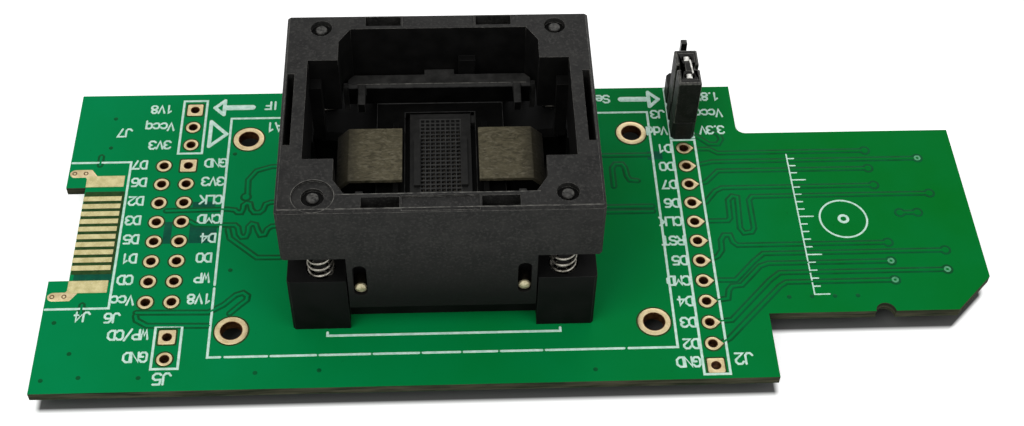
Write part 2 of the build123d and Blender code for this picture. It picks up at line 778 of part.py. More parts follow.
# Latch: hub on the shaft, hooked web with a nose bar, two tails for the pushers, a foot for the spring
def latch(side):
    inward = -side

    def across(points):
        return [(inward * x, z) for x, z in points]

    bend_inner = plate_bend - plate_sheet * (sqrt(2) - 1)
    flange_x = plate_bend + plate_flange - plate_sheet / sqrt(2)
    flange_z = plate_top - plate_flange - plate_sheet / sqrt(2)
    nose_end = nose_reach - nose_overhang
    web = [
        (web_inner, 0),
        (web_inner, nose_bottom - web_corner),
        (web_inner + web_corner, nose_bottom),
        (nose_end, nose_bottom),
        (nose_end, plate_top - plate_sheet),
        (-bend_inner, plate_top - plate_sheet),
        (-flange_x, flange_z),
        (-hub_radius, 0),
    ]
    tail = [
        (0, hub_radius),
        (-tail_reach + tail_land, tail_height),
        (-tail_reach, tail_height),
        (-tail_reach, tail_height - tail_depth),
        (0, -hub_radius),
    ]
    with BuildPart() as body:
        with BuildSketch(end_view(side)):
            Circle(hub_radius)
        extrude(amount=hub_half_width, both=True)
        with BuildSketch(end_view(side)):
            with BuildLine():
                Polyline(*across(web), close=True)
            make_face()
        extrude(amount=web_half_width, both=True)
        with BuildSketch(end_view(side)):
            bar_x = inward * (nose_bar_inner + nose_bar_outer) / 2
            with Locations((bar_x, (nose_bottom + nose_bar_top) / 2)):
                Rectangle(nose_bar_outer - nose_bar_inner, nose_bar_top - nose_bottom)
        extrude(amount=nose_bar_half_width, both=True)
        with BuildSketch(end_view(side)):
            with Locations((-inward * foot_reach / 2, foot_height / 2)):
                Rectangle(foot_reach, foot_height)
        extrude(amount=foot_half_width, both=True)
        for end in (-1, 1):
            face = end_view(side).offset(end * tail_inner)
            with BuildSketch(face):
                with BuildLine():
                    Polyline(*across(tail), close=True)
                make_face()
            extrude(amount=end * (hub_half_width - tail_inner))
        with BuildSketch(end_view(side)):
            Circle(shaft_radius + shaft_fit)
        extrude(amount=hub_half_width, both=True, mode=Mode.SUBTRACT)
    return body.part


# Pressure plate on the latch: a sheet bent down at 45 degrees behind the shaft
def pressure_plate(side):
    inward = -side
    slant = plate_sheet / sqrt(2)
    bend_inner = plate_bend - plate_sheet * (sqrt(2) - 1)
    outline = [
        (nose_reach, plate_top),
        (-plate_bend, plate_top),
        (-plate_bend - plate_flange, plate_top - plate_flange),
        (-plate_bend - plate_flange + slant, plate_top - plate_flange - slant),
        (-bend_inner, plate_top - plate_sheet),
        (nose_reach, plate_top - plate_sheet),
    ]
    with BuildPart() as plate:
        with BuildSketch(end_view(side)):
            with BuildLine():
                Polyline(*[(inward * x, z) for x, z in outline], close=True)
            make_face()
        extrude(amount=plate_half_width, both=True)
    return plate.part


# Latch shaft, with its ends in the slots of the cover's skirts
def latch_shaft(side):
    with BuildPart() as shaft:
        with BuildSketch(end_view(side)):
            Circle(shaft_radius)
        extrude(amount=shaft_end, both=True)
    return shaft.part


# Coil spring between two heights above the board, its turns and its wire drawn with few sides
def coil_spring(x, y, low, high, radius, turns):
    coil_radius = radius - spring_wire / 2
    steps = round(turns * coil_sides)
    rise = (high - low - spring_wire) / steps

    def coil_point(step):
        angle = 2 * pi * step / coil_sides
        height = board_top + low + spring_wire / 2 + rise * step
        return (socket_x + x + coil_radius * cos(angle), y + coil_radius * sin(angle), height)

    with BuildPart() as spring:
        with BuildLine() as path:
            Polyline(*[coil_point(step) for step in range(steps + 1)])
        with BuildSketch(Plane(origin=path.line @ 0, z_dir=path.line % 0, x_dir=(0, 0, 1))):
            Rectangle(spring_wire * wire_fill, spring_wire * wire_fill)
        sweep(transition=Transition.RIGHT)
    return spring.part


def pieces():
    made = {
        "circuit_board": circuit_board(),
        "edge_fingers": edge_fingers(),
        "card_contacts": card_contacts(),
        "header_insulator": header_insulator(),
        "header_pins": header_pins(),
        "jumper_cap": jumper_cap(),
        "jumper_clip": jumper_clip(),
        "socket_base": socket_base(),
        "contact_pins": contact_pins(),
        "tail_plate": tail_plate(),
        "contact_slider": contact_slider(),
        "package_nest": package_nest(),
        "operating_cover": operating_cover(),
    }
    for name, side in (("left", -1), ("right", 1)):
        made["latch_" + name] = latch(side)
        made["pressure_plate_" + name] = pressure_plate(side)
        made["latch_shaft_" + name] = latch_shaft(side)
        made["latch_spring_" + name] = coil_spring(
            side * (shaft_x + latch_spring_reach),
            0,
            base_floor - latch_spring_sink,
            shaft_height,
            latch_spring_radius,
            latch_spring_turns,
        )
        for end_name, end in (("front", -1), ("back", 1)):
            made["cover_spring_" + end_name + "_" + name] = coil_spring(
                side * corner_x,
                end * corner_y,
                corner_bore_floor,
                corner_bore_roof,
                corner_spring_radius,
                corner_spring_turns,
            )
    return made


os.makedirs("parts", exist_ok=True)
for name, part in pieces().items():
    part.label = name
    export_step(part, "parts/" + name + ".step")
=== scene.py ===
import bmesh
import bpy
import numpy as np
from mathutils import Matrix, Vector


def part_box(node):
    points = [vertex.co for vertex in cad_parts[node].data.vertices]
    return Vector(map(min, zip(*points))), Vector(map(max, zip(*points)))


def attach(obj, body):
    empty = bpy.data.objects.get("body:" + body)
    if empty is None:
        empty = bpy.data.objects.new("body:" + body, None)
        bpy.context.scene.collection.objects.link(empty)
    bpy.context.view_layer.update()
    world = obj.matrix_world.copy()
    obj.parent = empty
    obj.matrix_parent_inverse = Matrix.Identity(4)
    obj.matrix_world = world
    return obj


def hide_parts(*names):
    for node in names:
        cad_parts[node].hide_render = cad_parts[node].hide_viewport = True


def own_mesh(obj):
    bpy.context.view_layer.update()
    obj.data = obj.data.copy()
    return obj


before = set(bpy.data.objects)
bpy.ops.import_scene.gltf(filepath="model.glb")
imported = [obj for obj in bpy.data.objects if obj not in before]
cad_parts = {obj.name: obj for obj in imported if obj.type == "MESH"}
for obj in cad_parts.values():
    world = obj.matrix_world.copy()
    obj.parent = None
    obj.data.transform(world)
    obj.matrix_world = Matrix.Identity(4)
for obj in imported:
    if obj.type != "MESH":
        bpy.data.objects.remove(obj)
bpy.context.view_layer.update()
mm = 0.001
pi = np.pi


# what the pieces on the board share, in mm
layout = {
    "socketX": -8.0,
    "boardTop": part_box("circuit_board")[1].z / mm,
    "boardBottom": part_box("circuit_board")[0].z / mm,
    "pitch": 2.54,
}
top = layout["boardTop"]
sink = 0.01              # how far a low piece reaches into the face that it lies on
patchRange = 0.36, 0.64  # the part of a noise that spans two colours
roughRange = 0.3, 0.7    # the part that spans two roughnesses


# a node with its settings, and its inputs set to a value or linked to a socket
def addNode(tree, kind, inputs=None, **settings):
    node = tree.nodes.new(kind)
    for key, value in settings.items():
        setattr(node, key, value)
    for key, value in (inputs or {}).items():
        if isinstance(value, bpy.types.NodeSocket):
            tree.links.new(value, node.inputs[key])
        else:
            node.inputs[key].default_value = value
    return node


# noise whose features are about size mm across; stretch squeezes it along each axis
def addNoise(tree, place, size, detail=4.0, stretch=None, twist=0.0):
    if stretch:
        place = addNode(tree, "ShaderNodeMapping", {"Vector": place, "Scale": stretch}).outputs[0]
    return addNode(tree, "ShaderNodeTexNoise", {
        "Vector": place, "Scale": 1 / (size * mm), "Detail": detail, "Roughness": 0.6, "Distortion": twist,
    }).outputs[0]


def addRange(tree, value, low, high, toLow=0.0, toHigh=1.0):
    return addNode(tree, "ShaderNodeMapRange", {
        "Value": value, "From Min": low, "From Max": high, "To Min": toLow, "To Max": toHigh,
    }).outputs[0]


def addMath(tree, operation, first, second):
    return addNode(tree, "ShaderNodeMath", {0: first, 1: second}, operation=operation).outputs[0]


def mixColours(tree, share, first, second):
    first, second = [(*c, 1.0) if isinstance(c, tuple) else c for c in (first, second)]
    return addNode(tree, "ShaderNodeMix", {0: share, 6: first, 7: second}, data_type="RGBA").outputs[2]


# a new material, its node tree, its shader and the place on the object
def newMaterial(name):
    material = bpy.data.materials.new(name)
    material.use_nodes = True
    tree = material.node_tree
    return material, tree, tree.nodes["Principled BSDF"], addNode(tree, "ShaderNodeTexCoord").outputs["Object"]


# the shader's normal bent by a height from 0 to 1 that stands for lift in mm
def addBump(tree, shader, height, strength, lift):
    bump = addNode(tree, "ShaderNodeBump", {"Height": height, "Strength": strength, "Distance": lift * mm})
    tree.links.new(bump.outputs[0], shader.inputs["Normal"])


# dark to light over soft patches, flecks on the grain's peaks, roughness over the patches, grain as bump
def makeFinish(name, look):
    material, tree, shader, place = newMaterial(name)
    patches = addNoise(tree, place, look["patch"], 5.0, look.get("stretch"), look.get("twist", 0.0))
    grain = addNoise(tree, place, look["grain"], 3.0, look.get("grainStretch"))
    colour = mixColours(tree, addRange(tree, patches, *patchRange), look["dark"], look["light"])
    if "fleck" in look:
        colour = mixColours(tree, addRange(tree, grain, *look.get("fleckAt", (0.58, 0.72))), colour, look["fleck"])
    if "fade" in look:  # to another colour with the distance from a level on one axis
        axis, level, near, far = look["fade"]
        away = addNode(tree, "ShaderNodeSeparateXYZ", {0: place}).outputs[axis]
        away = addMath(tree, "ABSOLUTE", addMath(tree, "SUBTRACT", away, level * mm), 0.0)
        away = addMath(tree, "ADD", away, addMath(tree, "MULTIPLY", patches, look.get("fadeWaver", 0.0) * mm))
        colour = mixColours(tree, addRange(tree, away, near * mm, far * mm), colour, look["fadeTo"])
    tree.links.new(colour, shader.inputs["Base Color"])
    tree.links.new(addRange(tree, patches, *roughRange, *look["rough"]), shader.inputs["Roughness"])
    addBump(tree, shader, grain, 0.5, look["lift"])
    shader.inputs["Metallic"].default_value = look.get("metal", 0.0)
    shader.inputs["Specular IOR Level"].default_value = look["shine"]
    return material


# quads of a grid of rows by columns, for each of a number of copies
def gridFaces(rows, columns, closedRows=False, closedColumns=True, copies=1):
    i, j = np.meshgrid(np.arange(rows - (not closedRows)), np.arange(columns - (not closedColumns)), indexing="ij")
    below, beside = (i + 1) % rows, (j + 1) % columns
    quads = np.stack([i * columns + j, i * columns + beside, below * columns + beside, below * columns + j], -1)
    return (quads.reshape(1, -1, 4) + (np.arange(copies) * rows * columns)[:, None, None]).reshape(-1, 4)


# points in mm and faces made one closed mesh object: doubles merged, normals outwards, creases past the angle
def makePiece(name, points, faces, material, body, slotName, crease=35, turnOut=True):
    mesh = bpy.data.meshes.new(name)
    mesh.from_pydata((np.asarray(points, float).reshape(-1, 3) * mm).tolist(), [], np.asarray(faces).tolist())
    work = bmesh.new()
    work.from_mesh(mesh)
    bmesh.ops.remove_doubles(work, verts=work.verts, dist=2e-7)
    if turnOut:
        bmesh.ops.recalc_face_normals(work, faces=work.faces)
    work.to_mesh(mesh)
    work.free()
    mesh.shade_smooth()
    mesh.set_sharp_from_angle(angle=np.radians(crease))
    piece = bpy.data.objects.new(name, mesh)
    bpy.context.scene.collection.objects.link(piece)
    for each in material if isinstance(material, (list, tuple)) else [material]:
        mesh.materials.append(each)
    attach(piece, body)
    return piece


# several sets of points and faces as one set
def joined(parts):
    starts = np.cumsum([0] + [len(points) for points, faces in parts[:-1]])
    return (np.vstack([points for points, faces in parts]),
            np.vstack([faces + start for (points, faces), start in zip(parts, starts)]))


bandShape = {"mitreLimit": 1.7, "endPoints": 5}


# a low band along a line: at each corner the mitre of its two sides' normals, at the ends a half circle
# whose half width is the cosine and whose reach is the sine of the same angle, and a flat-topped section;
# a small reach squares the ends, and the climb raises the band evenly from its start to its end
def band(line, half, lift, closed=False, ground=top, edge=0.8, reach=1.0, climb=0.0):
    line = np.asarray(line, float)
    step = np.diff(np.vstack([line, line[:1]]) if closed else line, axis=0)
    step /= np.linalg.norm(step, axis=1, keepdims=True)
    normal = np.stack([-step[:, 1], step[:, 0]], 1)
    before, after = (np.roll(normal, 1, 0), normal) if closed else (normal[:-1], normal[1:])
    mitre = before + after
    size = np.linalg.norm(mitre, axis=1, keepdims=True).clip(1e-6)
    mitre *= np.minimum(2 / size, bandShape["mitreLimit"]) / size
    if closed:
        middle, across = line, mitre
    else:
        turn = np.linspace(0, pi / 2, bandShape["endPoints"])[1:, None]
        across = np.vstack([normal[:1], mitre, normal[-1:]])
        middle = np.vstack([line[0] - step[0] * half * reach * np.sin(turn[::-1]), line,
                            line[-1] + step[-1] * half * reach * np.sin(turn)])
        across = np.vstack([normal[0] * np.cos(turn[::-1]), across, normal[-1] * np.cos(turn)])
    side = np.array([-1, -edge, edge, 1])
    flat = middle[:, None, :] + across[:, None, :] * half * side[:, None]
    height = ground + np.array([-sink, lift, lift, -sink]) + climb * np.linspace(0, 1, len(middle))[:, None]
    points = np.concatenate([flat, height[..., None]], -1).reshape(-1, 3)
    return points, gridFaces(len(middle), 4, closedRows=closed)


# a profile of radius and height turned round z at every centre; rows with a third value of 1 follow the
# outline, which gives the reach for each angle as a share of the radius
def turned(centres, profile, outline=None, columns=32, closed=True):
    profile = np.array([(*row, 0)[:3] for row in profile], float)
    angle = np.linspace(0, 2 * pi, columns, endpoint=False)
    reach = np.ones(columns) if outline is None else outline(angle)
    radius = profile[:, :1] * np.where(profile[:, 2:] > 0, reach, 1.0)
    ring = np.stack([radius * np.cos(angle), radius * np.sin(angle),
                     np.broadcast_to(profile[:, 1:2], radius.shape)], -1)
    centres = np.asarray(centres, float)
    if centres.shape[1] == 2:
        centres = np.column_stack([centres, np.zeros(len(centres))])
    points = (centres[:, None, None, :] + ring[None]).reshape(-1, 3)
    return points, gridFaces(len(profile), columns, closedRows=closed, copies=len(centres))


# a profile whose heights start at a level
def raised(profile, level=top):
    return [(radius, level + height, *rest) for radius, height, *rest in profile]


# points evenly round a circle: the cosine and the sine of one angle
def circle(x, y, radius, points=48):
    angle = np.linspace(0, 2 * pi, points, endpoint=False)
    return np.stack([x + radius * np.cos(angle), y + radius * np.sin(angle)], 1)


# the four places at x and y to both sides of the socket's middle
def fourPlaces(x, y):
    return [(layout["socketX"] + i, j) for i in (-x, x) for j in (-y, y)]


# camera, floor and light

view = {
    "place": (-0.0072585, -0.098676, 0.125031),
    "turn": (39.4792, -1.13026, -2.31814),
    "lens": 53.7613,
    "sensor": 36.0,
    "clip": (0.005, 10.0),
}
camera = bpy.data.objects.new("viewCamera", bpy.data.cameras.new("viewCamera"))
bpy.context.scene.collection.objects.link(camera)
camera.location = view["place"]
camera.rotation_euler = np.radians(view["turn"])
camera.data.sensor_fit, camera.data.sensor_width, camera.data.lens = "HORIZONTAL", view["sensor"], view["lens"]
camera.data.clip_start, camera.data.clip_end = view["clip"]
bpy.context.scene.camera = camera
bpy.context.scene.view_settings.view_transform = "Standard"

studio = {
    "floorHalf": 2.0, "floorPoints": 9,
    "floorColour": (0.66, 0.66, 0.66),
    "floorPaintedShadow": (0.10, 0.10, 0.10),  # painted shadow: the floor's own colour right under the board, darker so that the contact shadow shows dark
    "floorGlow": 0.66,     # only seen by the camera and in reflections, and held back under the board, where the painted shadow lies
    "shadeEdge": 0.6,
    "shades": [(-11.3, 0.0, 35.2, 18.9), (35.0, 0.0, 11.6, 11.55)],  # middle and half size in x and y
    "shadeGap": (-46.6, 2.0, 1.6, 7.6),  # the notch at the fingers
    "shadeCorner": 54.5,                 # x less y at the cut corner
    "skyLight": 0.50,
    "lamps": [             # place, size, strength, colour
        ((-0.22, -0.20, 0.46), 0.30, 1.15, (1.0, 0.99, 0.97)),
        ((0.30, -0.28, 0.34), 0.30, 0.55, (0.97, 0.99, 1.0)),
        ((0.12, 0.52, 0.22), 0.30, 0.55, (1.0, 1.0, 1.0)),
    ],
}


# 1 in a rectangle of the floor, falling to 0 past its sides
def insideShare(tree, place, x, y, halfX, halfY):
    share = 1.0
    for axis, middle, half in ((0, x, halfX), (1, y, halfY)):
        away = addMath(tree, "ABSOLUTE", addMath(tree, "SUBTRACT", place.outputs[axis], middle * mm), 0.0)
        falling = addRange(tree, away, half * mm, (half + studio["shadeEdge"]) * mm, 1.0, 0.0)
        share = addMath(tree, "MULTIPLY", falling, share)
    return share


# 1 for a ray that the camera, a reflection or a clear material sends
def seenRay(tree):
    path = addNode(tree, "ShaderNodeLightPath")
    seen = addMath(tree, "ADD", path.outputs["Is Camera Ray"], path.outputs["Is Glossy Ray"])
    return addNode(tree, "ShaderNodeMath", {0: seen, 1: path.outputs["Is Transmission Ray"]},
                   operation="ADD", use_clamp=True).outputs[0]


def makeStudio():
    floorMaterial, tree, shader, place = newMaterial("paleFloor")
    place = addNode(tree, "ShaderNodeSeparateXYZ", {0: place})
    shader.inputs["Roughness"].default_value = 0.9
    shader.inputs["Specular IOR Level"].default_value = 0.0
    # the painted shadow: the board's outline on the floor, less the notch at the fingers, with the tongue's corner cut
    main, tongue = (insideShare(tree, place, *shade) for shade in studio["shades"])
    diagonal = addMath(tree, "SUBTRACT", place.outputs[0], place.outputs[1])
    corner, edge = studio["shadeCorner"], studio["shadeEdge"]
    cut = addRange(tree, diagonal, corner * mm, (corner + edge) * mm, 1.0, 0.0)
    under = addMath(tree, "SUBTRACT", addMath(tree, "MAXIMUM", main, addMath(tree, "MULTIPLY", tongue, cut)),
                    insideShare(tree, place, *studio["shadeGap"]))
    outside = addRange(tree, under, 1.0, 0.0)
    tree.links.new(mixColours(tree, outside, studio["floorPaintedShadow"], studio["floorColour"]),
                   shader.inputs["Base Color"])
    glow = addMath(tree, "MULTIPLY", addMath(tree, "MULTIPLY", seenRay(tree), outside), studio["floorGlow"])
    shader.inputs["Emission Color"].default_value = (1, 1, 1, 1)
    tree.links.new(glow, shader.inputs["Emission Strength"])
    half, count = studio["floorHalf"], studio["floorPoints"]
    across = np.linspace(-half, half, count)
    x, y = np.meshgrid(across, across, indexing="ij")
    mesh = bpy.data.meshes.new("floor")
    mesh.from_pydata(np.stack([x, y, 0 * x], -1).reshape(-1, 3).tolist(), [],
                     gridFaces(count, count, closedColumns=False)[:, ::-1].tolist())
    mesh.materials.append(floorMaterial)
    floor = bpy.data.objects.new("floor", mesh)
    bpy.context.scene.collection.objects.link(floor)
    world = bpy.data.worlds.new("studioSky")
    world.use_nodes = True
    sky = world.node_tree.nodes["Background"]
    sky.inputs["Color"].default_value = (1, 1, 1, 1)
    world.node_tree.links.new(addRange(world.node_tree, seenRay(world.node_tree), 0, 1, studio["skyLight"], 1.0),
                              sky.inputs["Strength"])
    bpy.context.scene.world = world
    for number, (place, size, strength, colour) in enumerate(studio["lamps"]):
        lamp = bpy.data.lights.new(f"softLamp{number}", "AREA")
        lamp.size, lamp.energy, lamp.color = size, strength, colour
        holder = bpy.data.objects.new(lamp.name, lamp)
        holder.location = place
        holder.rotation_euler = (-holder.location).to_track_quat("-Z", "Y").to_euler()
        bpy.context.scene.collection.objects.link(holder)


makeStudio()
print("stage: camera, floor and light")


# finishes, with linear colours and sizes in mm: a row for each, and a dictionary of what only some have

lookColumns = ("dark", "light", "patch", "grain", "lift", "rough", "shine")
looks = {
    # the cover's fade is painted shade: darker farther below its top face, on the lower skirt
    "coverPlastic": ((0.0095, 0.0093, 0.009), (0.0225, 0.022, 0.021), 1.7, 0.26, 0.03, (0.5, 0.68), 0.12,
        {"fleck": (0.046, 0.045, 0.042), "fleckAt": (0.5, 0.78), "fade": (2, 21.0, 5.5, 13.5), "fadeWaver": 1.5,
         "fadeTo": (0.0035, 0.0034, 0.0033)}),
    # painted shade: the cover's faces inside its opening
    "coverInsideShade": ((0.003, 0.003, 0.0029), (0.006, 0.0059, 0.0057), 1.8, 0.25, 0.02, (0.55, 0.7), 0.06, {}),
    # lighter rounded edges: worn, and painted highlight too, lightest at the top face and darker lower down
    "coverEdgeWearAndHighlight": ((0.04, 0.039, 0.036), (0.3, 0.29, 0.262), 0.55, 0.2, 0.02, (0.45, 0.6), 0.2,
        {"fade": (2, 21.0, 0.5, 2.0), "fadeWaver": 0.5, "fadeTo": (0.013, 0.0127, 0.012)}),
    "basePlastic": ((0.0028, 0.0029, 0.0028), (0.0055, 0.0055, 0.0054), 3.0, 0.3, 0.012, (0.5, 0.65), 0.07, {}),
    "baseEdge": ((0.006, 0.006, 0.0058), (0.026, 0.026, 0.025), 0.9, 0.3, 0.012, (0.5, 0.6), 0.15, {}),
    # black plastic of the latch arms; on the nest's upright and low faces it is painted shade
    "blackPlasticAndShade": ((0.0014, 0.0014, 0.0013), (0.0032, 0.0032, 0.0031), 2.0, 0.3, 0.012, (0.55, 0.7), 0.03, {}),
    # painted highlight on the corner cores
    "coreHighlight": ((0.0075, 0.0074, 0.007), (0.08, 0.078, 0.072), 0.34, 0.12, 0.012, (0.4, 0.6), 0.2, {}),
    # painted highlight along the rims of the cover and the nest's bar
    "rimHighlight": ((0.014, 0.0138, 0.0132), (0.15, 0.146, 0.132), 0.6, 0.12, 0.004, (0.45, 0.6), 0.2, {}),
    "nestPlastic": ((0.0125, 0.0125, 0.012), (0.0285, 0.028, 0.0268), 1.3, 0.2, 0.02, (0.48, 0.66), 0.14,
        {"fleck": (0.048, 0.047, 0.044), "fleckAt": (0.6, 0.8)}),
    "sliderPlastic": ((0.01, 0.01, 0.0097), (0.019, 0.0187, 0.018), 1.1, 0.15, 0.01, (0.45, 0.6), 0.12, {}),
    # the slider's plastic made lighter on the ribs: painted light on their tops
    "ribPaintedLight": ((0.024, 0.024, 0.0232), (0.042, 0.0415, 0.04), 0.9, 0.12, 0.005, (0.45, 0.6), 0.15, {}),
    "jumperPlastic": ((0.0055, 0.0054, 0.005), (0.0115, 0.0112, 0.0103), 0.9, 0.16, 0.02, (0.45, 0.62), 0.12,
        {"fleck": (0.03, 0.029, 0.027)}),
    "jumperEdge": ((0.014, 0.014, 0.013), (0.12, 0.118, 0.105), 0.4, 0.16, 0.02, (0.4, 0.55), 0.25, {}),
    # the plates' fade is painted shade: darker toward their outer ends, under the cover's walls
    "oliveMetal": ((0.046, 0.04, 0.023), (0.11, 0.097, 0.06), 1.2, 0.34, 0.04, (0.55, 0.75), 0.2,
        {"stretch": (0.75, 1.25, 1.0), "twist": 2.4, "fleck": (0.165, 0.148, 0.102), "fleckAt": (0.5, 0.76),
         "grainStretch": (0.6, 1.4, 1.0), "metal": 0.2, "fade": (0, -8.0, 8.4, 10.8), "fadeWaver": 1.6,
         "fadeTo": (0.012, 0.011, 0.008)}),
    "padGold": ((0.54, 0.42, 0.22), (0.7, 0.58, 0.35), 0.8, 0.12, 0.006, (0.36, 0.52), 0.4,
        {"fleck": (0.78, 0.68, 0.46), "metal": 0.75}),
    "fingerGold": ((0.5, 0.44, 0.2), (0.66, 0.59, 0.31), 0.8, 0.12, 0.006, (0.36, 0.52), 0.4,
        {"fleck": (0.74, 0.68, 0.44), "metal": 0.75}),
    "barrelGold": ((0.055, 0.018, 0.006), (0.15, 0.065, 0.022), 0.4, 0.1, 0.01, (0.4, 0.55), 0.3, {"metal": 0.7}),
    "pinTin": ((0.42, 0.41, 0.38), (0.7, 0.69, 0.65), 0.5, 0.1, 0.004, (0.25, 0.4), 0.5,
        {"grainStretch": (1.0, 1.0, 0.2), "metal": 0.9, "fade": (1, 0.0, 16.4, 16.6),
         "fadeTo": (0.03, 0.03, 0.028)}),
    "contactMetal": ((0.012, 0.01, 0.007), (0.035, 0.03, 0.02), 0.3, 0.08, 0.003, (0.4, 0.55), 0.2, {"metal": 0.6}),
    "shaftBrass": ((0.34, 0.29, 0.16), (0.66, 0.6, 0.4), 0.35, 0.12, 0.01, (0.3, 0.45), 0.5, {"metal": 0.5}),
    # painted shade on the shaft's body, in the slot
    "shaftPaintedShade": ((0.01, 0.009, 0.006), (0.03, 0.026, 0.017), 0.4, 0.1, 0.006, (0.4, 0.55), 0.2, {"metal": 0.6}),
    "springSteel": ((0.1, 0.092, 0.076), (0.4, 0.38, 0.33), 0.6, 0.08, 0.002, (0.25, 0.4), 0.5, {"metal": 0.9}),
    "printInk": ((0.46, 0.71, 0.59), (0.68, 0.88, 0.79), 0.5, 0.14, 0.008, (0.5, 0.65), 0.2,
        {"fleck": (0.3, 0.56, 0.42), "fleckAt": (0.66, 0.74)}),
    "traceGap": ((0.0008, 0.074, 0.018), (0.0012, 0.102, 0.03), 2.0, 0.3, 0.004, (0.4, 0.5), 0.06, {}),
    "clearMask": ((0.002, 0.07, 0.04), (0.003, 0.1, 0.052), 1.5, 0.3, 0.004, (0.4, 0.5), 0.06, {}),
    "viaMask": ((0.05, 0.26, 0.12), (0.13, 0.42, 0.23), 0.3, 0.1, 0.006, (0.4, 0.5), 0.15, {}),
    "maskRing": ((0.01, 0.04, 0.008), (0.026, 0.068, 0.016), 0.6, 0.2, 0.004, (0.4, 0.5), 0.08, {}),
}
finishes = {name: makeFinish(name, {**dict(zip(lookColumns, row)), **more}) for name, (*row, more) in looks.items()}

boardLook = {
    "mask": ((0.0004, 0.150, 0.011), (0.0007, 0.234, 0.074)), "cloudSize": 14.0, "grain": 0.5,
    "along": (47.0, -47.0, 0.0, 0.78), "cloud": (0.3, 0.7, 0.0, 0.26),  # what each adds to the lighter green
    "speck": (0.0020, 0.070, 0.020), "speckAt": (0.70, 0.80, 0.0, 0.5),
    "rough": (0.42, 0.52), "bump": (0.35, 0.012), "shine": 0.02,
    "edge": ((0.018, 0.024, 0.014), (0.078, 0.075, 0.048)),
    "edgeBelow": 0.006,    # how far under the face the cut edge starts
    "edgeRough": 0.8, "layerSize": 1.6, "layerStretch": (0.35, 0.35, 5.0), "layerAt": (0.35, 0.65),
}


# green over the faces, with a faint cloth in the bump; between the faces the layers of the cut edge
def makeBoardFinish(name, showEdge):
    material, tree, shader, place = newMaterial(name)
    cloud = addNoise(tree, place, boardLook["cloudSize"], 3.0)
    fine = addNoise(tree, place, boardLook["grain"], 3.0)
    across = addNode(tree, "ShaderNodeSeparateXYZ", {0: place})
    start, end, low, high = boardLook["along"]
    along = addRange(tree, across.outputs[0], start * mm, end * mm, low, high)
    share = addMath(tree, "ADD", along, addRange(tree, cloud, *boardLook["cloud"]))
    green = mixColours(tree, share, *boardLook["mask"])
    green = mixColours(tree, addRange(tree, fine, *boardLook["speckAt"]), green, boardLook["speck"])
    rough = addRange(tree, fine, *roughRange, *boardLook["rough"])
    height = fine
    if showEdge:
        level = across.outputs[2]
        low = (layout["boardBottom"] + boardLook["edgeBelow"]) * mm
        high = (top - boardLook["edgeBelow"]) * mm
        cut = addMath(tree, "MULTIPLY", addMath(tree, "GREATER_THAN", level, low),
                      addMath(tree, "LESS_THAN", level, high))
        layers = addNoise(tree, place, boardLook["layerSize"], 5.0, boardLook["layerStretch"])
        edge = mixColours(tree, addRange(tree, layers, *boardLook["layerAt"]), *boardLook["edge"])
        green = mixColours(tree, cut, green, edge)
        rough = addMath(tree, "MAXIMUM", rough, addMath(tree, "MULTIPLY", cut, boardLook["edgeRough"]))
        height = addMath(tree, "ADD", fine, addMath(tree, "MULTIPLY", cut, layers))
    tree.links.new(green, shader.inputs["Base Color"])
    tree.links.new(rough, shader.inputs["Roughness"])
    addBump(tree, shader, height, *boardLook["bump"])
    shader.inputs["Specular IOR Level"].default_value = boardLook["shine"]
    return material


finishes["boardMask"] = makeBoardFinish("boardMask", True)
finishes["traceMask"] = makeBoardFinish("traceMask", False)
print("stage: finishes")


# copper under the mask: each track is a light line in a darker gap

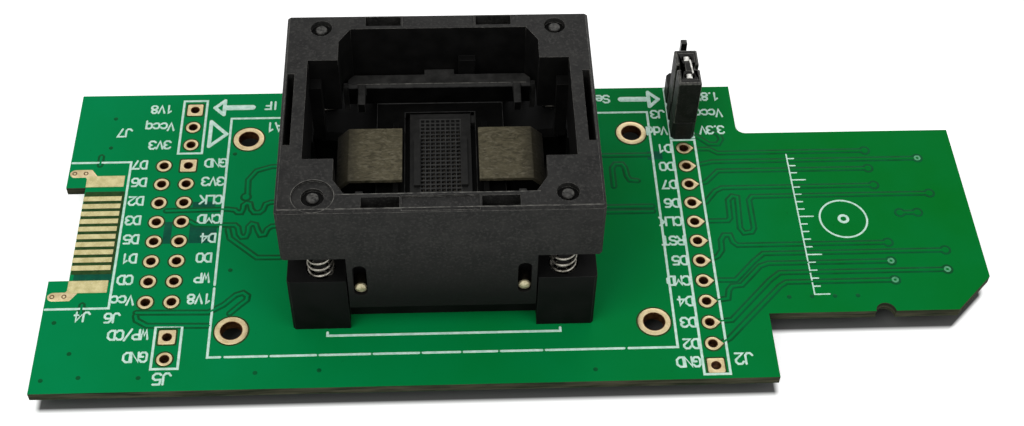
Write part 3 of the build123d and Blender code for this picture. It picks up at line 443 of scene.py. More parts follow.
tracks = {
    "half": 0.17, "gapHalf": 0.40, "lift": 0.024, "gapLift": 0.004, "stagger": 0.0006,
    "lines": [
        [(19.0, 10.0), (20.72, 9.99), (21.57, 9.39), (37.47, 9.39)],
        [(18.9, 7.69), (20.82, 8.17), (42.95, 8.17)],
        [(19.0, 5.08), (19.83, 5.34), (21.26, 6.86), (37.36, 6.86)],
        [(19.0, 2.61), (19.5, 2.6), (20.63, 4.07), (21.4, 4.50), (37.54, 4.50)],
        [(19.0, 0.05), (21.47, 0.05), (21.73, 0.39), (21.84, 2.81), (22.33, 3.35), (22.84, 3.2), (22.59, -0.96),
         (22.91, -1.63), (23.75, -1.52), (24.03, -1.0), (24.04, 2.76), (24.41, 3.25), (43.2, 3.25)],
        [(19.0, -5.04), (19.85, -4.54), (20.36, -3.78), (20.42, -2.49), (20.81, -1.84), (21.43, -1.86),
         (21.62, -2.78), (22.04, -3.21), (37.53, -3.21)],
        [(19.0, -7.57), (21.28, -7.62), (23.43, -5.27), (24.5, -4.34), (43.22, -4.34)],
        [(19.0, -10.04), (20.18, -9.87), (20.41, -8.84), (20.78, -8.36), (21.79, -8.26), (23.94, -5.92),
         (24.8, -5.60), (37.37, -5.60)],
        [(19.0, -12.59), (20.23, -12.5), (24.69, -7.71), (25.8, -6.81), (42.89, -6.81)],
        [(19.0, -15.09), (19.75, -14.63), (25.59, -8.48), (26.3, -8.01), (37.31, -8.01)],
        [(19.3, 12.05), (19.54, 11.9), (20.81, 10.71), (21.78, 10.68), (22.2, 11.4), (21.97, 12.14), (21.35, 12.44)],
        [(39.55, 0.68), (41.4, 0.68)],
        [(10.07, 5.0), (10.07, 7.52), (10.43, 8.08), (11.18, 8.06), (11.45, 7.49), (11.56, 6.37), (11.83, 5.8),
         (12.6, 5.7)],
        [(8.8, 2.18), (13.8, 2.18)], [(8.8, 1.5), (13.8, 1.5)], [(8.8, 9.3), (14.3, 9.3)],
        [(-24.4, 8.6), (-25.9, 8.55), (-27.44, 8.0), (-28.22, 6.74), (-28.15, 4.46)],
        [(-36.3, 2.75), (-30.09, 2.82), (-29.31, 2.69), (-29.03, 2.35), (-28.64, 2.34), (-28.5, 2.78),
         (-28.47, 3.34), (-28.18, 3.61), (-27.83, 3.51), (-27.65, 2.76), (-27.34, 2.31), (-26.75, 2.29),
         (-26.43, 2.62), (-26.22, 3.4), (-25.69, 3.65), (-24.4, 3.65)],
        [(-33.8, 1.27), (-33.2, 0.85), (-30.18, 0.72), (-29.16, 0.7), (-28.83, 0.36), (-28.65, -0.51),
         (-28.38, -0.9), (-27.95, -0.86), (-27.77, -0.32), (-27.76, 0.45), (-27.48, 0.83), (-27.05, 0.69),
         (-26.77, -0.12), (-26.50, -0.68), (-26.07, -0.62), (-25.84, 0.07), (-25.42, 0.45), (-24.4, 0.5)],
        [(-29.82, 0.1), (-29.54, -1.03), (-26.68, -3.57), (-24.4, -3.62)],
        [(-37.9, -10.1), (-30.94, -10.25), (-29.55, -9.38), (-28.42, -8.2), (-27.73, -7.95), (-27.27, -8.33),
         (-27.32, -8.84), (-27.93, -9.43), (-28.83, -10.41)],
        [(-37.95, -10.5), (-37.82, -11.0), (-36.75, -11.69), (-30.8, -11.84)],
        [(-43.9, 10.3), (-43.9, 9.2)], [(-43.3, -9.1), (-43.3, -10.2)],
    ],
    "tentedVias": [(37.47, 9.39), (37.36, 6.86), (37.54, 4.50), (43.2, 3.25), (37.53, -3.21), (43.22, -4.34),
                   (39.55, 0.68), (41.4, 0.68), (-28.3, 4.42)],
    "ringVias": [(42.95, 8.17), (37.37, -5.60), (42.89, -6.81), (37.31, -8.01)],
    "smallVias": [(-43.06, 15.79), (-43.07, 11.58), (-29.88, 10.43), (-43.75, -14.78), (-46.0, -17.77),
                  (-42.52, -17.54), (-36.89, -17.7), (-25.94, -17.43), (-45.71, -11.11), (6.4, -17.9),
                  (26.3, -9.85), (28.6, -9.85), (30.9, -9.85), (33.2, -9.85), (-29.2, -5.1), (-19.9, -17.3)],
    "clearAreas": [((-33.7, -0.15), (-31.0, -0.15), 1.45), ((-36.3, -0.15), (-35.55, -0.15), 1.45),
                   ((-44.6, -5.75), (-40.9, -5.75), 0.6), ((14.0, 9.2), (15.6, 9.2), 0.6),
                   ((-33.7, 3.4), (-31.4, 3.4), 0.5)],
    # profiles of radius and height over the board
    "gapDisc": [(0.0, -sink), (0.62, -sink), (0.60, 0.0195), (0.0, 0.0195)],
    "gapDot": [(0.0, -sink), (0.26, -sink), (0.22, 0.006), (0.0, 0.006)],
    "viaCap": [(0.0, -sink), (0.38, -sink), (0.36, 0.030), (0.26, 0.042), (0.15, 0.042), (0.06, 0.028), (0.0, 0.026)],
    "viaRing": [(0.36, -sink), (0.36, 0.034), (0.30, 0.046), (0.20, 0.046), (0.15, 0.030), (0.15, -sink)],
}


def makeTracks():
    step = tracks["stagger"]  # keeps crossing bands off each other's level
    gaps = [band(line, tracks["gapHalf"], tracks["gapLift"] + step * number)
            for number, line in enumerate(tracks["lines"])]
    clear = [band([start, end], half, tracks["gapLift"] * 0.5, edge=0.98, reach=0.02)
             for start, end, half in tracks["clearAreas"]]
    makePiece("clearedCopper", *joined(clear), finishes["clearMask"], "adapter_board", "board_green")
    gaps.append(turned(tracks["tentedVias"] + tracks["ringVias"], raised(tracks["gapDisc"]), columns=20,
                       closed=False))
    gaps.append(turned(tracks["smallVias"], raised(tracks["gapDot"]), columns=16, closed=False))
    makePiece("copperGaps", *joined(gaps), finishes["traceGap"], "adapter_board", "board_green")
    lines = [band(line, tracks["half"], tracks["lift"] + step * number, edge=0.6)
             for number, line in enumerate(tracks["lines"])]
    lines.append(turned(tracks["tentedVias"], raised(tracks["viaCap"]), columns=20, closed=False))
    makePiece("copperTracks", *joined(lines), finishes["traceMask"], "adapter_board", "board_green")
    makePiece("viaRings", *turned(tracks["ringVias"], raised(tracks["viaRing"]), columns=20), finishes["viaMask"],
              "adapter_board", "gold")


makeTracks()
print("stage: tracks")


# plated pads: rings on both faces joined by a barrel in each hole

pads = {
    "lift": 0.035, "barrelOuter": 0.458, "barrelInner": 0.43, "padRadius": 0.76, "squareHalf": 0.83,
    "tear": 1.42, "clearance": 0.16, "mountRadius": 1.62, "mountHole": 1.04, "mountBarrel": 1.09,
    "selectorX": 18.0, "selectorY": 17.78, "selectorRows": (3, 14),
    "innerX": -34.65, "outerX": -37.19, "doubleY": 8.89, "doubleRows": 8,
    "squareYs": (16.9, -13.1), "roundYs": (14.36, 11.82, -15.64), "mounts": (20.55, 12.5),
    "tab": [(-46.3, 8.0), (-44.9, 8.0), (-44.4, 7.3)], "tabHalf": 0.55, "tabLift": 0.04, "tabViaXs": (-46.37, -45.2),
    "tabVia": [(0.0, 0.0), (0.25, 0.0), (0.25, 0.046), (0.18, 0.050), (0.10, 0.030), (0.0, 0.020)],
    "bed": [(-44.9, 0.1), (-40.9, 0.1)], "bedHalf": 5.4, "bedLift": 0.012,
}


# a circle, with a point on the side at 0 that reaches to the given share of its radius
def tearOutline(share):
    flank = np.arccos(1 / share)

    def outline(angle):
        off = np.abs((angle + pi) % (2 * pi) - pi)
        return np.where(off < flank, 1 / np.cos(flank - off), 1.0)
    return outline


# a square of half side 1 whose corners are a little round
def squareOutline(angle):
    return (np.abs(np.cos(angle)) ** 14 + np.abs(np.sin(angle)) ** 14) ** (-1 / 14)


def padProfile(outer, inner, barrel):
    low, lift = layout["boardBottom"], pads["lift"]
    return [(outer, top - sink, 1), (outer, top + lift * 0.5, 1), (outer - 0.03, top + lift, 1),
            (inner + 0.07, top + lift), (inner, top + lift * 0.3), (inner, low - lift * 0.3),
            (inner + 0.07, low - lift), (outer - 0.03, low - lift, 1), (outer, low - lift * 0.5, 1),
            (outer, low + sink, 1), (barrel, low + sink), (barrel, top - sink)]


def makePads():
    first, last = pads["selectorRows"]
    longX, longY, inner = pads["selectorX"], pads["selectorY"], pads["innerX"]
    longRow = [(longX, longY - layout["pitch"] * k) for k in range(first, last)]
    double = [(x, pads["doubleY"] - layout["pitch"] * k) for x in (inner, pads["outerX"])
              for k in range(pads["doubleRows"])]
    squares = [(longX, -longY), double.pop(0)] + [(inner, y) for y in pads["squareYs"]]
    rounds = double + [(inner, y) for y in pads["roundYs"]]
    radius, half, hole, barrel = (pads[key] for key in ("padRadius", "squareHalf", "barrelInner", "barrelOuter"))
    groups = [
        (longRow, padProfile(radius, hole, barrel), tearOutline(pads["tear"])),
        (squares, padProfile(half, hole, barrel), squareOutline),
        (rounds, padProfile(radius, hole, barrel), None),
        (fourPlaces(*pads["mounts"]), padProfile(pads["mountRadius"], pads["mountHole"], pads["mountBarrel"]),
         None),
    ]
    piece = makePiece("platedPads", *joined([turned(*group, columns=48) for group in groups]),
                      [finishes["padGold"], finishes["barrelGold"]], "adapter_board", "gold")
    centres = np.array([face.center for face in piece.data.polygons])
    middle = (top + layout["boardBottom"]) / 2
    inside = np.abs(centres[:, 2] / mm - middle) < top - middle + 0.7 * pads["lift"]
    piece.data.polygons.foreach_set("material_index", inside.astype(np.int32))
    rings = []
    for centresHere, profile, outline in groups:
        outside, hole = profile[0][0], profile[4][0]
        wide = raised([(outside + pads["clearance"], -sink, 1), (outside + pads["clearance"] * 0.9, 0.022, 1),
                       (hole + 0.2, 0.022), (hole + 0.2, -sink)])
        rings.append(turned(centresHere, wide, outline, 48))
    makePiece("maskClearance", *joined(rings), finishes["maskRing"], "adapter_board", "board_green")
    # pads with two small vias beside each shield pad, and the bare bed of the edge fingers
    flat = [band([(x, side * y) for x, y in pads["tab"]], pads["tabHalf"], pads["tabLift"]) for side in (-1, 1)]
    makePiece("shieldTabs", *joined(flat), finishes["padGold"], "adapter_board", "gold")
    dots = [(x, side * pads["tab"][0][1]) for x in pads["tabViaXs"] for side in (-1, 1)]
    makePiece("shieldVias", *turned(dots, raised(pads["tabVia"]), columns=16, closed=False), finishes["barrelGold"],
              "adapter_board", "gold")
    makePiece("fingerBed", *band(pads["bed"], pads["bedHalf"], pads["bedLift"], edge=0.995, reach=0.01),
              finishes["maskRing"], "adapter_board", "board_green")


makePads()
print("stage: pads")


# white printing: frames, arrows and a plain lettering of strokes, read from the far side

printing = {
    "lift": 0.028, "frameHalf": 0.135, "textHalf": 0.12, "textHeight": 1.06, "textStep": 0.79,
    "frames": [
        [(-35.9, 10.6), (-35.9, 18.25), (-33.4, 18.25), (-33.4, 10.6)],
        [(-35.85, -16.75), (-35.85, -11.83), (-33.3, -11.83), (-33.3, -16.75)],
        [(16.77, -18.75), (16.77, 11.35), (19.28, 11.35), (19.28, -18.75)],
        [(16.77, 11.7), (16.77, 19.0), (19.28, 19.0), (19.28, 11.7)],
    ],
    "breaks": (-29.12, -24.75, -20.08, -14.92, -10.23, -6.29, -2.73, 1.6, 9.54), "break": 0.2, "breakY": -15.55,
    "lines": [
        [(-29.4, -15.55), (-30.6, -15.55), (-30.6, -7.35)],
        [(-30.6, -6.9), (-30.6, 15.55), (14.55, 15.55), (14.55, -15.55), (9.8, -15.55)],
        [(-46.8, 9.5), (-40.68, 9.5), (-40.68, -9.5), (-46.8, -9.5)],
        [(-19.24, -12.95), (-19.24, -13.33), (3.31, -13.33), (3.31, -12.95)],
    ],
    "marks": [[(-30.98, 13.3), (-32.74, 15.16), (-32.74, 11.56)], [(-32.52, 17.2), (-31.5, 18.25), (-31.5, 16.16)],
              [(15.99, 17.46), (14.93, 18.55), (14.93, 16.36)]],
    "markHalf": 0.22,
    "shafts": [[(-31.2, 17.2), (-28.5, 17.2)], [(11.9, 17.53), (14.6, 17.5)]],
    "shaftHalf": 0.38,
    "stagger": 0.0012, "climb": 0.005,  # keep strokes that cross out of one plane, where they would render black
    "letterStep": 0.0008, "letterSteps": 9,
    "rings": [(33.5, 0.0, 2.45, 0.11), (33.5, 0.0, 0.45, 0.16)],
    "scale": {"x": 28.9, "from": -9.6, "to": 9.0, "step": 1.0, "short": 0.7, "long": 1.5, "half": 0.085},
    "labels": [
        ("1V8", -38.26, 17.08), ("Vccq", -38.21, 14.51), ("3V3", -37.94, 11.89), ("J7", -41.85, 13.71),
        ("D7", -39.73, 9.1), ("D6", -39.56, 6.68), ("D2", -39.58, 4.15), ("D3", -39.59, 1.56),
        ("D5", -39.5, -0.92), ("D1", -39.42, -3.38), ("CD", -39.49, -6.06), ("Vcc", -39.48, -8.59),
        ("GND", -31.79, 9.2), ("3V3", -31.89, 6.64), ("CLK", -31.89, 4.15), ("CMD", -31.87, 1.56),
        ("D4", -31.76, -0.93), ("D0", -31.95, -3.45), ("WP", -31.92, -6.01), ("1V8", -31.99, -8.59),
        ("J4", -43.11, -10.47), ("J6", -40.2, -10.67), ("WP/CD", -38.42, -12.72), ("GND", -37.45, -15.34),
        ("J5", -34.67, -17.87), ("A1", -25.9, 14.2), ("IF", -26.4, 17.4), ("Sel", 9.45, 17.6),
        ("D1", 15.9, 10.16), ("D0", 15.9, 7.62), ("D7", 15.9, 5.08), ("D6", 15.9, 2.54), ("CLK", 15.5, 0.1),
        ("RST", 15.5, -2.44), ("D5", 15.9, -5.0), ("CMD", 15.5, -7.55), ("D4", 15.9, -10.1),
        ("D3", 15.9, -12.65), ("D2", 15.9, -15.2), ("GND", 15.4, -17.3), ("J2", 20.8, -17.05),
        ("J3", 15.7, 15.2), ("Vdd", 15.35, 12.75), ("1.8V", 21.35, 17.75), ("Vccq", 21.25, 15.25),
        ("3.3V", 21.35, 12.75),
    ],
    "tallLabels": ("J5", "J2", "A1"),
    "tall": 1.15,
}

bowl = [(.55, .55), (.4, .7), (.15, .7), (0, .52), (0, .18), (.15, 0), (.4, 0), (.55, .15)]
stemLoop = [(0, 0), (0, 1), (.42, 1), (.6, .85), (.6, .62), (.42, .48), (0, .48)]
strokes = {
    "0": [[(.15, 0), (0, .2), (0, .8), (.15, 1), (.45, 1), (.6, .8), (.6, .2), (.45, 0), (.15, 0)]],
    "1": [[(.12, .78), (.35, 1), (.35, 0)]],
    "2": [[(0, .8), (.15, 1), (.45, 1), (.6, .8), (.6, .6), (0, 0), (.6, 0)]],
    "3": [[(0, .85), (.15, 1), (.45, 1), (.6, .8), (.6, .66), (.4, .52), (.6, .38), (.6, .18), (.45, 0), (.15, 0),
           (0, .15)]],
    "4": [[(.45, 0), (.45, 1), (0, .3), (.6, .3)]],
    "5": [[(.56, 1), (.06, 1), (0, .56), (.42, .58), (.6, .42), (.6, .18), (.42, 0), (.12, 0), (0, .12)]],
    "6": [[(.54, 1), (.2, 1), (0, .74), (0, .18), (.15, 0), (.45, 0), (.6, .18), (.6, .4), (.45, .57), (.1, .57)]],
    "7": [[(0, 1), (.6, 1), (.2, 0)]],
    "8": [[(.3, .53), (.06, .66), (.06, .86), (.2, 1), (.4, 1), (.54, .86), (.54, .66), (.3, .53), (.02, .36),
           (.02, .15), (.16, 0), (.44, 0), (.58, .15), (.58, .36), (.3, .53)]],
    "A": [[(0, 0), (.3, 1), (.6, 0)], [(.12, .34), (.48, .34)]],
    "C": [[(.6, .82), (.45, 1), (.15, 1), (0, .8), (0, .2), (.15, 0), (.45, 0), (.6, .18)]],
    "D": [[(0, 0), (0, 1), (.35, 1), (.6, .75), (.6, .25), (.35, 0), (0, 0)]],
    "F": [[(.55, 1), (0, 1), (0, 0)], [(0, .52), (.45, .52)]],
    "G": [[(.6, .82), (.45, 1), (.15, 1), (0, .8), (0, .2), (.15, 0), (.45, 0), (.6, .15), (.6, .46), (.34, .46)]],
    "I": [[(.3, 0), (.3, 1)]],
    "J": [[(.55, 1), (.55, .2), (.4, 0), (.15, 0), (0, .2)]],
    "K": [[(0, 0), (0, 1)], [(.6, 1), (0, .4)], [(.2, .58), (.6, 0)]],
    "L": [[(0, 1), (0, 0), (.55, 0)]],
    "M": [[(0, 0), (0, 1), (.3, .42), (.6, 1), (.6, 0)]],
    "N": [[(0, 0), (0, 1), (.6, 0), (.6, 1)]],
    "P": [stemLoop],
    "R": [stemLoop, [(.3, .48), (.6, 0)]],
    "S": [[(.6, .85), (.45, 1), (.15, 1), (0, .85), (0, .65), (.15, .52), (.45, .48), (.6, .35), (.6, .15),
           (.45, 0), (.15, 0), (0, .15)]],
    "T": [[(0, 1), (.6, 1)], [(.3, 1), (.3, 0)]],
    "V": [[(0, 1), (.3, 0), (.6, 1)]],
    "W": [[(0, 1), (.14, 0), (.3, .62), (.46, 0), (.6, 1)]],
    "c": [[(.55, .58), (.4, .7), (.15, .7), (0, .52), (0, .18), (.15, 0), (.4, 0), (.55, .12)]],
    "d": [[(.55, 1), (.55, 0)], bowl],
    "e": [[(.02, .36), (.55, .36), (.55, .52), (.4, .7), (.15, .7), (0, .52), (0, .18), (.15, 0), (.5, 0)]],
    "l": [[(.2, 1), (.2, 0)]],
    "q": [[(.55, .7), (.55, -.3)], bowl],
    "/": [[(0, -.1), (.6, 1.1)]],
    ".": [[(.28, 0), (.32, .03)]],
}


# each letter's strokes, half turned about the label's middle
def labelBands(text, x, y):
    height = printing["textHeight"] * (printing["tall"] if text in printing["tallLabels"] else 1)
    step = printing["textStep"] * height / printing["textHeight"]
    steps = np.array([step * (0.5 if letter == "." else 1) for letter in text])
    starts = np.cumsum(steps) - steps
    width = starts[-1] + 0.6 * height
    bands = []
    for letter, start in zip(text, starts):
        for stroke in strokes[letter]:
            shift = -0.2 * height if letter == "." else 0
            at = np.array(stroke) * height + (start + shift - width / 2, -height / 2)
            level = printing["lift"] + printing["letterStep"] * (len(bands) % printing["letterSteps"] + 1)
            bands.append(band((x, y) - at, printing["textHalf"], level, climb=printing["climb"]))
    return bands


def makePrinting():
    lift, half = printing["lift"], printing["frameHalf"]
    bands = [band(line, half, lift, closed=True, edge=0.85) for line in printing["frames"]]
    bands += [band(line, half, lift, edge=0.85) for line in printing["lines"]]
    gap, y = printing["break"], printing["breakY"]
    for start, end in zip(printing["breaks"][:-1], printing["breaks"][1:]):
        bands.append(band([(start + gap, y), (end - gap, y)], half, lift))
    for line in printing["marks"]:
        bands += [band(side, printing["markHalf"], lift + printing["stagger"] * (number + 1))
                  for number, side in enumerate(zip(line, line[1:] + line[:1]))]
    bands += [band(line, printing["shaftHalf"], lift + printing["stagger"] * 4) for line in printing["shafts"]]
    bands += [band(circle(*place), wide, lift, closed=True) for *place, wide in printing["rings"]]
    scale = printing["scale"]
    bands.append(band([(scale["x"], scale["from"]), (scale["x"], scale["to"])], scale["half"], lift))
    for number, level in enumerate(np.arange(scale["from"], scale["to"] + 0.01, scale["step"])):
        reach = scale["short"] if number % 5 else scale["long"]
        bands.append(band([(scale["x"] + 0.1, level), (scale["x"] + reach, level)], scale["half"],
                          lift + printing["stagger"]))
    for label in printing["labels"]:
        bands += labelBands(*label)
    makePiece("whitePrinting", *joined(bands), finishes["printInk"], "adapter_board", "board_green")


makePrinting()
print("stage: printing")


# merging distance in metres, and in degrees the bends that are joined and the corners that are rounded
rounding = {"merge": 2e-6, "flat": 0.4, "corner": 32, "segments": 2}
# half length and half width of the part painted dark as shade, and its upper limit, in mm from the socket's centre
paintedShadeZones = {"operating_cover": (12.9, 10.9, 20.5), "package_nest": (99.0, 99.0, 14.0)}


# a CAD node's own shape: loose triangles merged, flat faces joined, edges rounded; the rounding takes the last finish,
# a lighter colour of worn edges, which on the cover is also painted highlight
def roundedCopy(name, node, body, slotName, finishNames, edge):
    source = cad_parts[node].data
    points = np.empty(len(source.vertices) * 3)
    source.vertices.foreach_get("co", points)
    corners = np.empty(len(source.loops), dtype=np.int32)
    source.loops.foreach_get("vertex_index", corners)
    piece = makePiece(name, points / mm, corners.reshape(-1, 3), [finishes[each] for each in finishNames],
                      body, slotName, crease=180, turnOut=False)
    work = bmesh.new()
    work.from_mesh(piece.data)
    bmesh.ops.remove_doubles(work, verts=work.verts, dist=rounding["merge"])
    bmesh.ops.dissolve_limit(work, angle_limit=np.radians(rounding["flat"]), verts=work.verts, edges=work.edges)
    work.to_mesh(piece.data)
    work.free()
    piece.data.shade_smooth()
    bevel = piece.modifiers.new("roundedEdge", "BEVEL")
    bevel.width, bevel.segments, bevel.limit_method = edge * mm, rounding["segments"], "ANGLE"
    bevel.angle_limit, bevel.harden_normals, bevel.use_clamp_overlap = np.radians(rounding["corner"]), True, True
    bevel.material = len(finishNames) - 1
    if node in paintedShadeZones:  # the middle finish, painted shade, is for faces inside the limits, and the nest's upright ones
        centres = np.array([face.center for face in piece.data.polygons]) / mm
        centres[:, 0] -= layout["socketX"]
        away = (np.abs(centres) > paintedShadeZones[node]).any(axis=1)
        if node == "package_nest":
            away &= np.array([face.normal.z for face in piece.data.polygons]) > 0.5
        piece.data.polygons.foreach_set("material_index", (~away).astype(np.int32))
    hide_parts(node)
    return piece

mouldings = [  # new piece, CAD node, body, slot, finishes, edge radius in mm
    ("coverShell", "operating_cover", "cover", "cover_plastic", ("coverPlastic", "coverInsideShade", "coverEdgeWearAndHighlight"), 0.15),
    ("baseBlock", "socket_base", "adapter_board", "base_plastic", ("basePlastic", "baseEdge"), 0.09),
    ("nestFrame", "package_nest", "adapter_board", "black_plastic",
     ("nestPlastic", "blackPlasticAndShade", "baseEdge"), 0.07),
    ("latchArmLeft", "latch_left", "left_latch", "black_plastic", ("blackPlasticAndShade", "basePlastic"), 0.06),
    ("latchArmRight", "latch_right", "right_latch", "black_plastic", ("blackPlasticAndShade", "basePlastic"), 0.06),
    ("olivePlateLeft", "pressure_plate_left", "left_latch", "olive_plate", ("oliveMetal",), 0.06),
    ("olivePlateRight", "pressure_plate_right", "right_latch", "olive_plate", ("oliveMetal",), 0.06),
    ("selectorBlock", "header_insulator", "adapter_board", "black_plastic", ("jumperPlastic",), 0.06),
    ("jumperShell", "jumper_cap", "jumper", "black_plastic", ("jumperPlastic", "jumperEdge"), 0.09),
]
for moulding in mouldings:
    roundedCopy(*moulding)
print("stage: mouldings")


# springs of round wire: a helix whose end turns lie closed, and a circle of wire round it

springs = {
    "cover": {"nodes": ("cover_spring_front_left", "cover_spring_back_left", "cover_spring_front_right",
                        "cover_spring_back_right"), "wire": 0.14, "turns": 10.5, "keep": 0.66},
    "latch": {"nodes": ("latch_spring_left", "latch_spring_right"), "wire": 0.11, "turns": 4.0, "keep": 0.27},
    "endTurns": 1.0, "steps": 26, "sides": 10,
}


# the helix's angle grows evenly; its height follows the wire's own pitch in the end turns and an even
# pitch between; the wire's circle stands in the plane of the axis, and the two ends close to a point
def coil(centre, low, high, outer, wire, turns):
    rows = int(turns * springs["steps"]) + 1
    turn = np.linspace(0, turns, rows)
    ends, half = springs["endTurns"], wire
    first = low + half + 2 * half * ends
    last = high - half - 2 * half * ends
    height = np.interp(turn, [0, ends, turns - ends, turns], [low + half, first, last, high - half])
    around = np.linspace(0, 2 * pi, springs["sides"], endpoint=False)
    thick = half * np.ones(rows)
    thick[[0, -1]] = 0.0
    radius = (outer - half) + thick[:, None] * np.cos(around)
    angle = 2 * pi * turn[:, None]
    points = np.stack([centre[0] + radius * np.cos(angle), centre[1] + radius * np.sin(angle),
                       height[:, None] + thick[:, None] * np.sin(around)], -1)
    return points.reshape(-1, 3), gridFaces(rows, springs["sides"])


def makeSprings():
    for kind in ("cover", "latch"):
        given = springs[kind]
        for number, node in enumerate(given["nodes"]):
            low, high = (np.array(corner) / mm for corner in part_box(node))
            outer = (high[0] - low[0]) / 2
            piece = makePiece(f"{kind}Coil{number + 1}",
                              *coil((low + high) / 2, low[2], high[2], outer, given["wire"], given["turns"]),
                              finishes["springSteel"], "adapter_board", "spring_steel", crease=60)
            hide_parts(node)
            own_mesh(piece)


makeSprings()
print("stage: springs")


# turned shafts with domed ends: a profile of radius along the shaft, turned round y; the body is coloured dark as
# painted shade, the ends bright brass

shafts = {"dome": 0.22, "bright": 0.12}


def makeShafts():
    for name, node in (("turnedShaftLeft", "latch_shaft_left"), ("turnedShaftRight", "latch_shaft_right")):
        low, high = (np.array(corner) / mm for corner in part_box(node))
        radius, half = (high[0] - low[0]) / 2, (high[1] - low[1]) / 2
        turn = np.linspace(0, pi / 2, 6)
        dome = [(radius * np.sin(t), half - shafts["dome"] * (1 - np.cos(t))) for t in turn]
        wall = half - shafts["dome"] - shafts["bright"]
        profile = [(r, -y) for r, y in dome] + [(radius, -wall), (radius, wall)] + dome[::-1]
        points, faces = turned([(0, 0)], profile, columns=24, closed=False)
        points = np.stack([points[:, 0], points[:, 2], points[:, 1]], 1) + (low + high) / 2
        piece = makePiece(name, points, faces, [finishes["shaftPaintedShade"], finishes["shaftBrass"]], "adapter_board",
                          "shaft_metal", crease=50)
        along = np.abs([face.center.y for face in piece.data.polygons]) / mm
        piece.data.polygons.foreach_set("material_index", (along > wall).astype(np.int32))
        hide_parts(node)


makeShafts()
print("stage: shafts")


# moulded marks in the round recesses of the cover's corners: a low core with a crown, coloured lighter as painted
# highlight

bosses = {"x": 11.4, "y": 10.7, "radius": 0.56, "depth": 0.35, "rise": 0.2}
highlightLines = {
    "half": 0.05, "ringHalf": 0.035, "lift": 0.004, "stagger": 0.0006,
    "coverLines": [[(-22.45, -12.22), (6.45, -12.22)], [(-17.3, -10.56), (0.9, -10.56)]],
    "ring": (-19.4, -10.7, 1.93),
    "barLine": [(-16.6, 8.32), (0.6, 8.32)],
}


def makeBosses():
    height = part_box("operating_cover")[1].z / mm
    floor = height - bosses["depth"]
    radius, rise = bosses["radius"], bosses["rise"]
    profile = [(0.0, floor - 0.05), (radius, floor - 0.05), (radius, floor + rise * 0.5),
               (radius * 0.9, floor + rise * 0.85), (radius * 0.66, floor + rise), (radius * 0.42, floor + rise * 0.8),
               (radius * 0.2, floor + rise * 0.9), (0.0, floor + rise * 0.95)]
    makePiece("cornerCores", *turned(fourPlaces(bosses["x"], bosses["y"]), profile, columns=24, closed=False),
              finishes["coreHighlight"], "cover", "cover_plastic")
    # painted highlight: light lines along the rims that stand in the light
    rims = [band(line, highlightLines["half"], highlightLines["lift"] + highlightLines["stagger"] * number, ground=height)
            for number, line in enumerate(highlightLines["coverLines"])]
    rims.append(band(circle(*highlightLines["ring"]), highlightLines["ringHalf"], highlightLines["lift"], closed=True, ground=height))
    makePiece("coverRimHighlights", *joined(rims), finishes["rimHighlight"], "cover", "cover_plastic")
    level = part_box("package_nest")[1].z / mm
    makePiece("barRimHighlight", *band(highlightLines["barLine"], highlightLines["half"], highlightLines["lift"], ground=level), finishes["rimHighlight"],
              "adapter_board", "black_plastic")


makeBosses()
print("stage: cover marks")


# on the contact plate: low ribs between the holes in a lighter colour, painted light on their tops, and dark squares
# on the face as painted shade of the shallow pockets of the rows without contacts

grid = {"columns": 8, "rows": 17, "step": 0.5, "blindRows": (4.5, 5.0, 5.5), "pocket": 0.15, "pocketLift": 0.006,
        "face": 12.95, "acrossHalf": 0.065, "alongHalf": 0.045, "lift": 0.03}


def makeGrid():
    x = layout["socketX"] + (np.arange(grid["columns"] + 1) - grid["columns"] / 2) * grid["step"]
    y = (np.arange(grid["rows"] + 1 + len(grid["blindRows"])) - grid["rows"] / 2) * grid["step"]
    ribs = [band([(x[0], level), (x[-1], level)], grid["acrossHalf"], grid["lift"], ground=grid["face"])
            for level in y]
    ribs += [band([(level, y[0]), (level, y[-1])], grid["alongHalf"], grid["lift"] * 0.9, ground=grid["face"])
             for level in x]
    makePiece("gridRibs", *joined(ribs), finishes["ribPaintedLight"], "slider", "slider_plastic")
    centres = [(level, row) for row in grid["blindRows"] for level in (x[:-1] + x[1:]) / 2]
    half, lift = grid["pocket"], grid["pocketLift"]
    # dark squares on the face: painted shade of the pockets
    pocket = raised([(0.0, -sink), (half, -sink, 1), (half, lift, 1), (0.0, lift)], grid["face"])
    makePiece("pocketPaintedShade", *turned(centres, pocket, squareOutline, 12, closed=False), finishes["basePlastic"],
              "slider", "slider_plastic")


makeGrid()


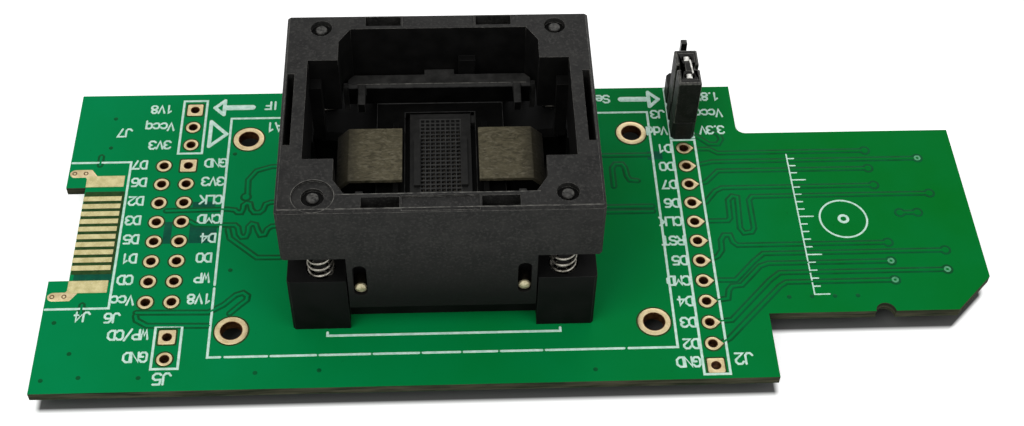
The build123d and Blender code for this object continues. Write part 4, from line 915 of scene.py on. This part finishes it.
# small stops at the four ends of the nest's bars: a squared profile turned round z, with a stepped top
ears = {"x": 9.33, "y": 8.43, "half": 0.28, "low": 12.0, "high": 15.4}


def makeEars():
    half, low, high = ears["half"], ears["low"], ears["high"]
    profile = [(0.0, low), (half, low, 1), (half, high - 0.5, 1), (half * 0.97, high - 0.1, 1),
               (half * 0.75, high, 1), (half * 0.45, high, 1), (half * 0.35, high - 0.08, 1), (0.0, high - 0.08)]
    makePiece("nestStops", *turned(fourPlaces(ears["x"], ears["y"]), profile, squareOutline, 40, closed=False),
              finishes["nestPlastic"], "adapter_board", "black_plastic")


makeEars()


# the bent strip of the clip that shows in the cap's top, a band on the strip's own level
clipStrip = {"line": [(18.28, 14.88), (18.40, 13.08)], "half": 0.10, "level": 11.58, "lift": 0.11}
makePiece("clipStrip", *band(clipStrip["line"], clipStrip["half"], clipStrip["lift"], ground=clipStrip["level"]),
          finishes["pinTin"], "jumper", "pin_metal")

# collars that narrow the cap's two windows to ovals round the pins: a chamfered ring with a squared outside
collars = {"places": [(18.0, 15.2), (18.0, 12.66)], "outer": 0.86, "inner": 0.56, "flat": 0.8, "low": 11.2,
           "high": 11.6, "chamfer": (0.06, 0.08)}


def makeCollars():
    outer, inner, low, high = (collars[key] for key in ("outer", "inner", "low", "high"))
    wide, deep = collars["chamfer"]
    profile = [(outer, low, 1), (outer, high, 1), (inner + wide, high), (inner, high - deep), (inner, low)]
    points, faces = turned([(0.0, 0.0)], profile, squareOutline, 48)
    points = points * (1, collars["flat"], 1)
    rings = [(points + (x, y, 0), faces) for x, y in collars["places"]]
    makePiece("windowCollars", *joined(rings), finishes["jumperPlastic"], "jumper", "black_plastic")


makeCollars()
print("stage: grid, stops and jumper")


# the CAD nodes that stay get their finish

kept = {
    "circuit_board": "boardMask", "edge_fingers": "fingerGold", "card_contacts": "padGold", "header_pins": "pinTin",
    "jumper_clip": "pinTin", "contact_pins": "contactMetal", "tail_plate": "basePlastic",
    "contact_slider": "sliderPlastic",
}
for node, finishName in kept.items():
    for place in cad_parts[node].material_slots:
        place.material = finishes[finishName]
print("stage: finishes of the kept nodes")
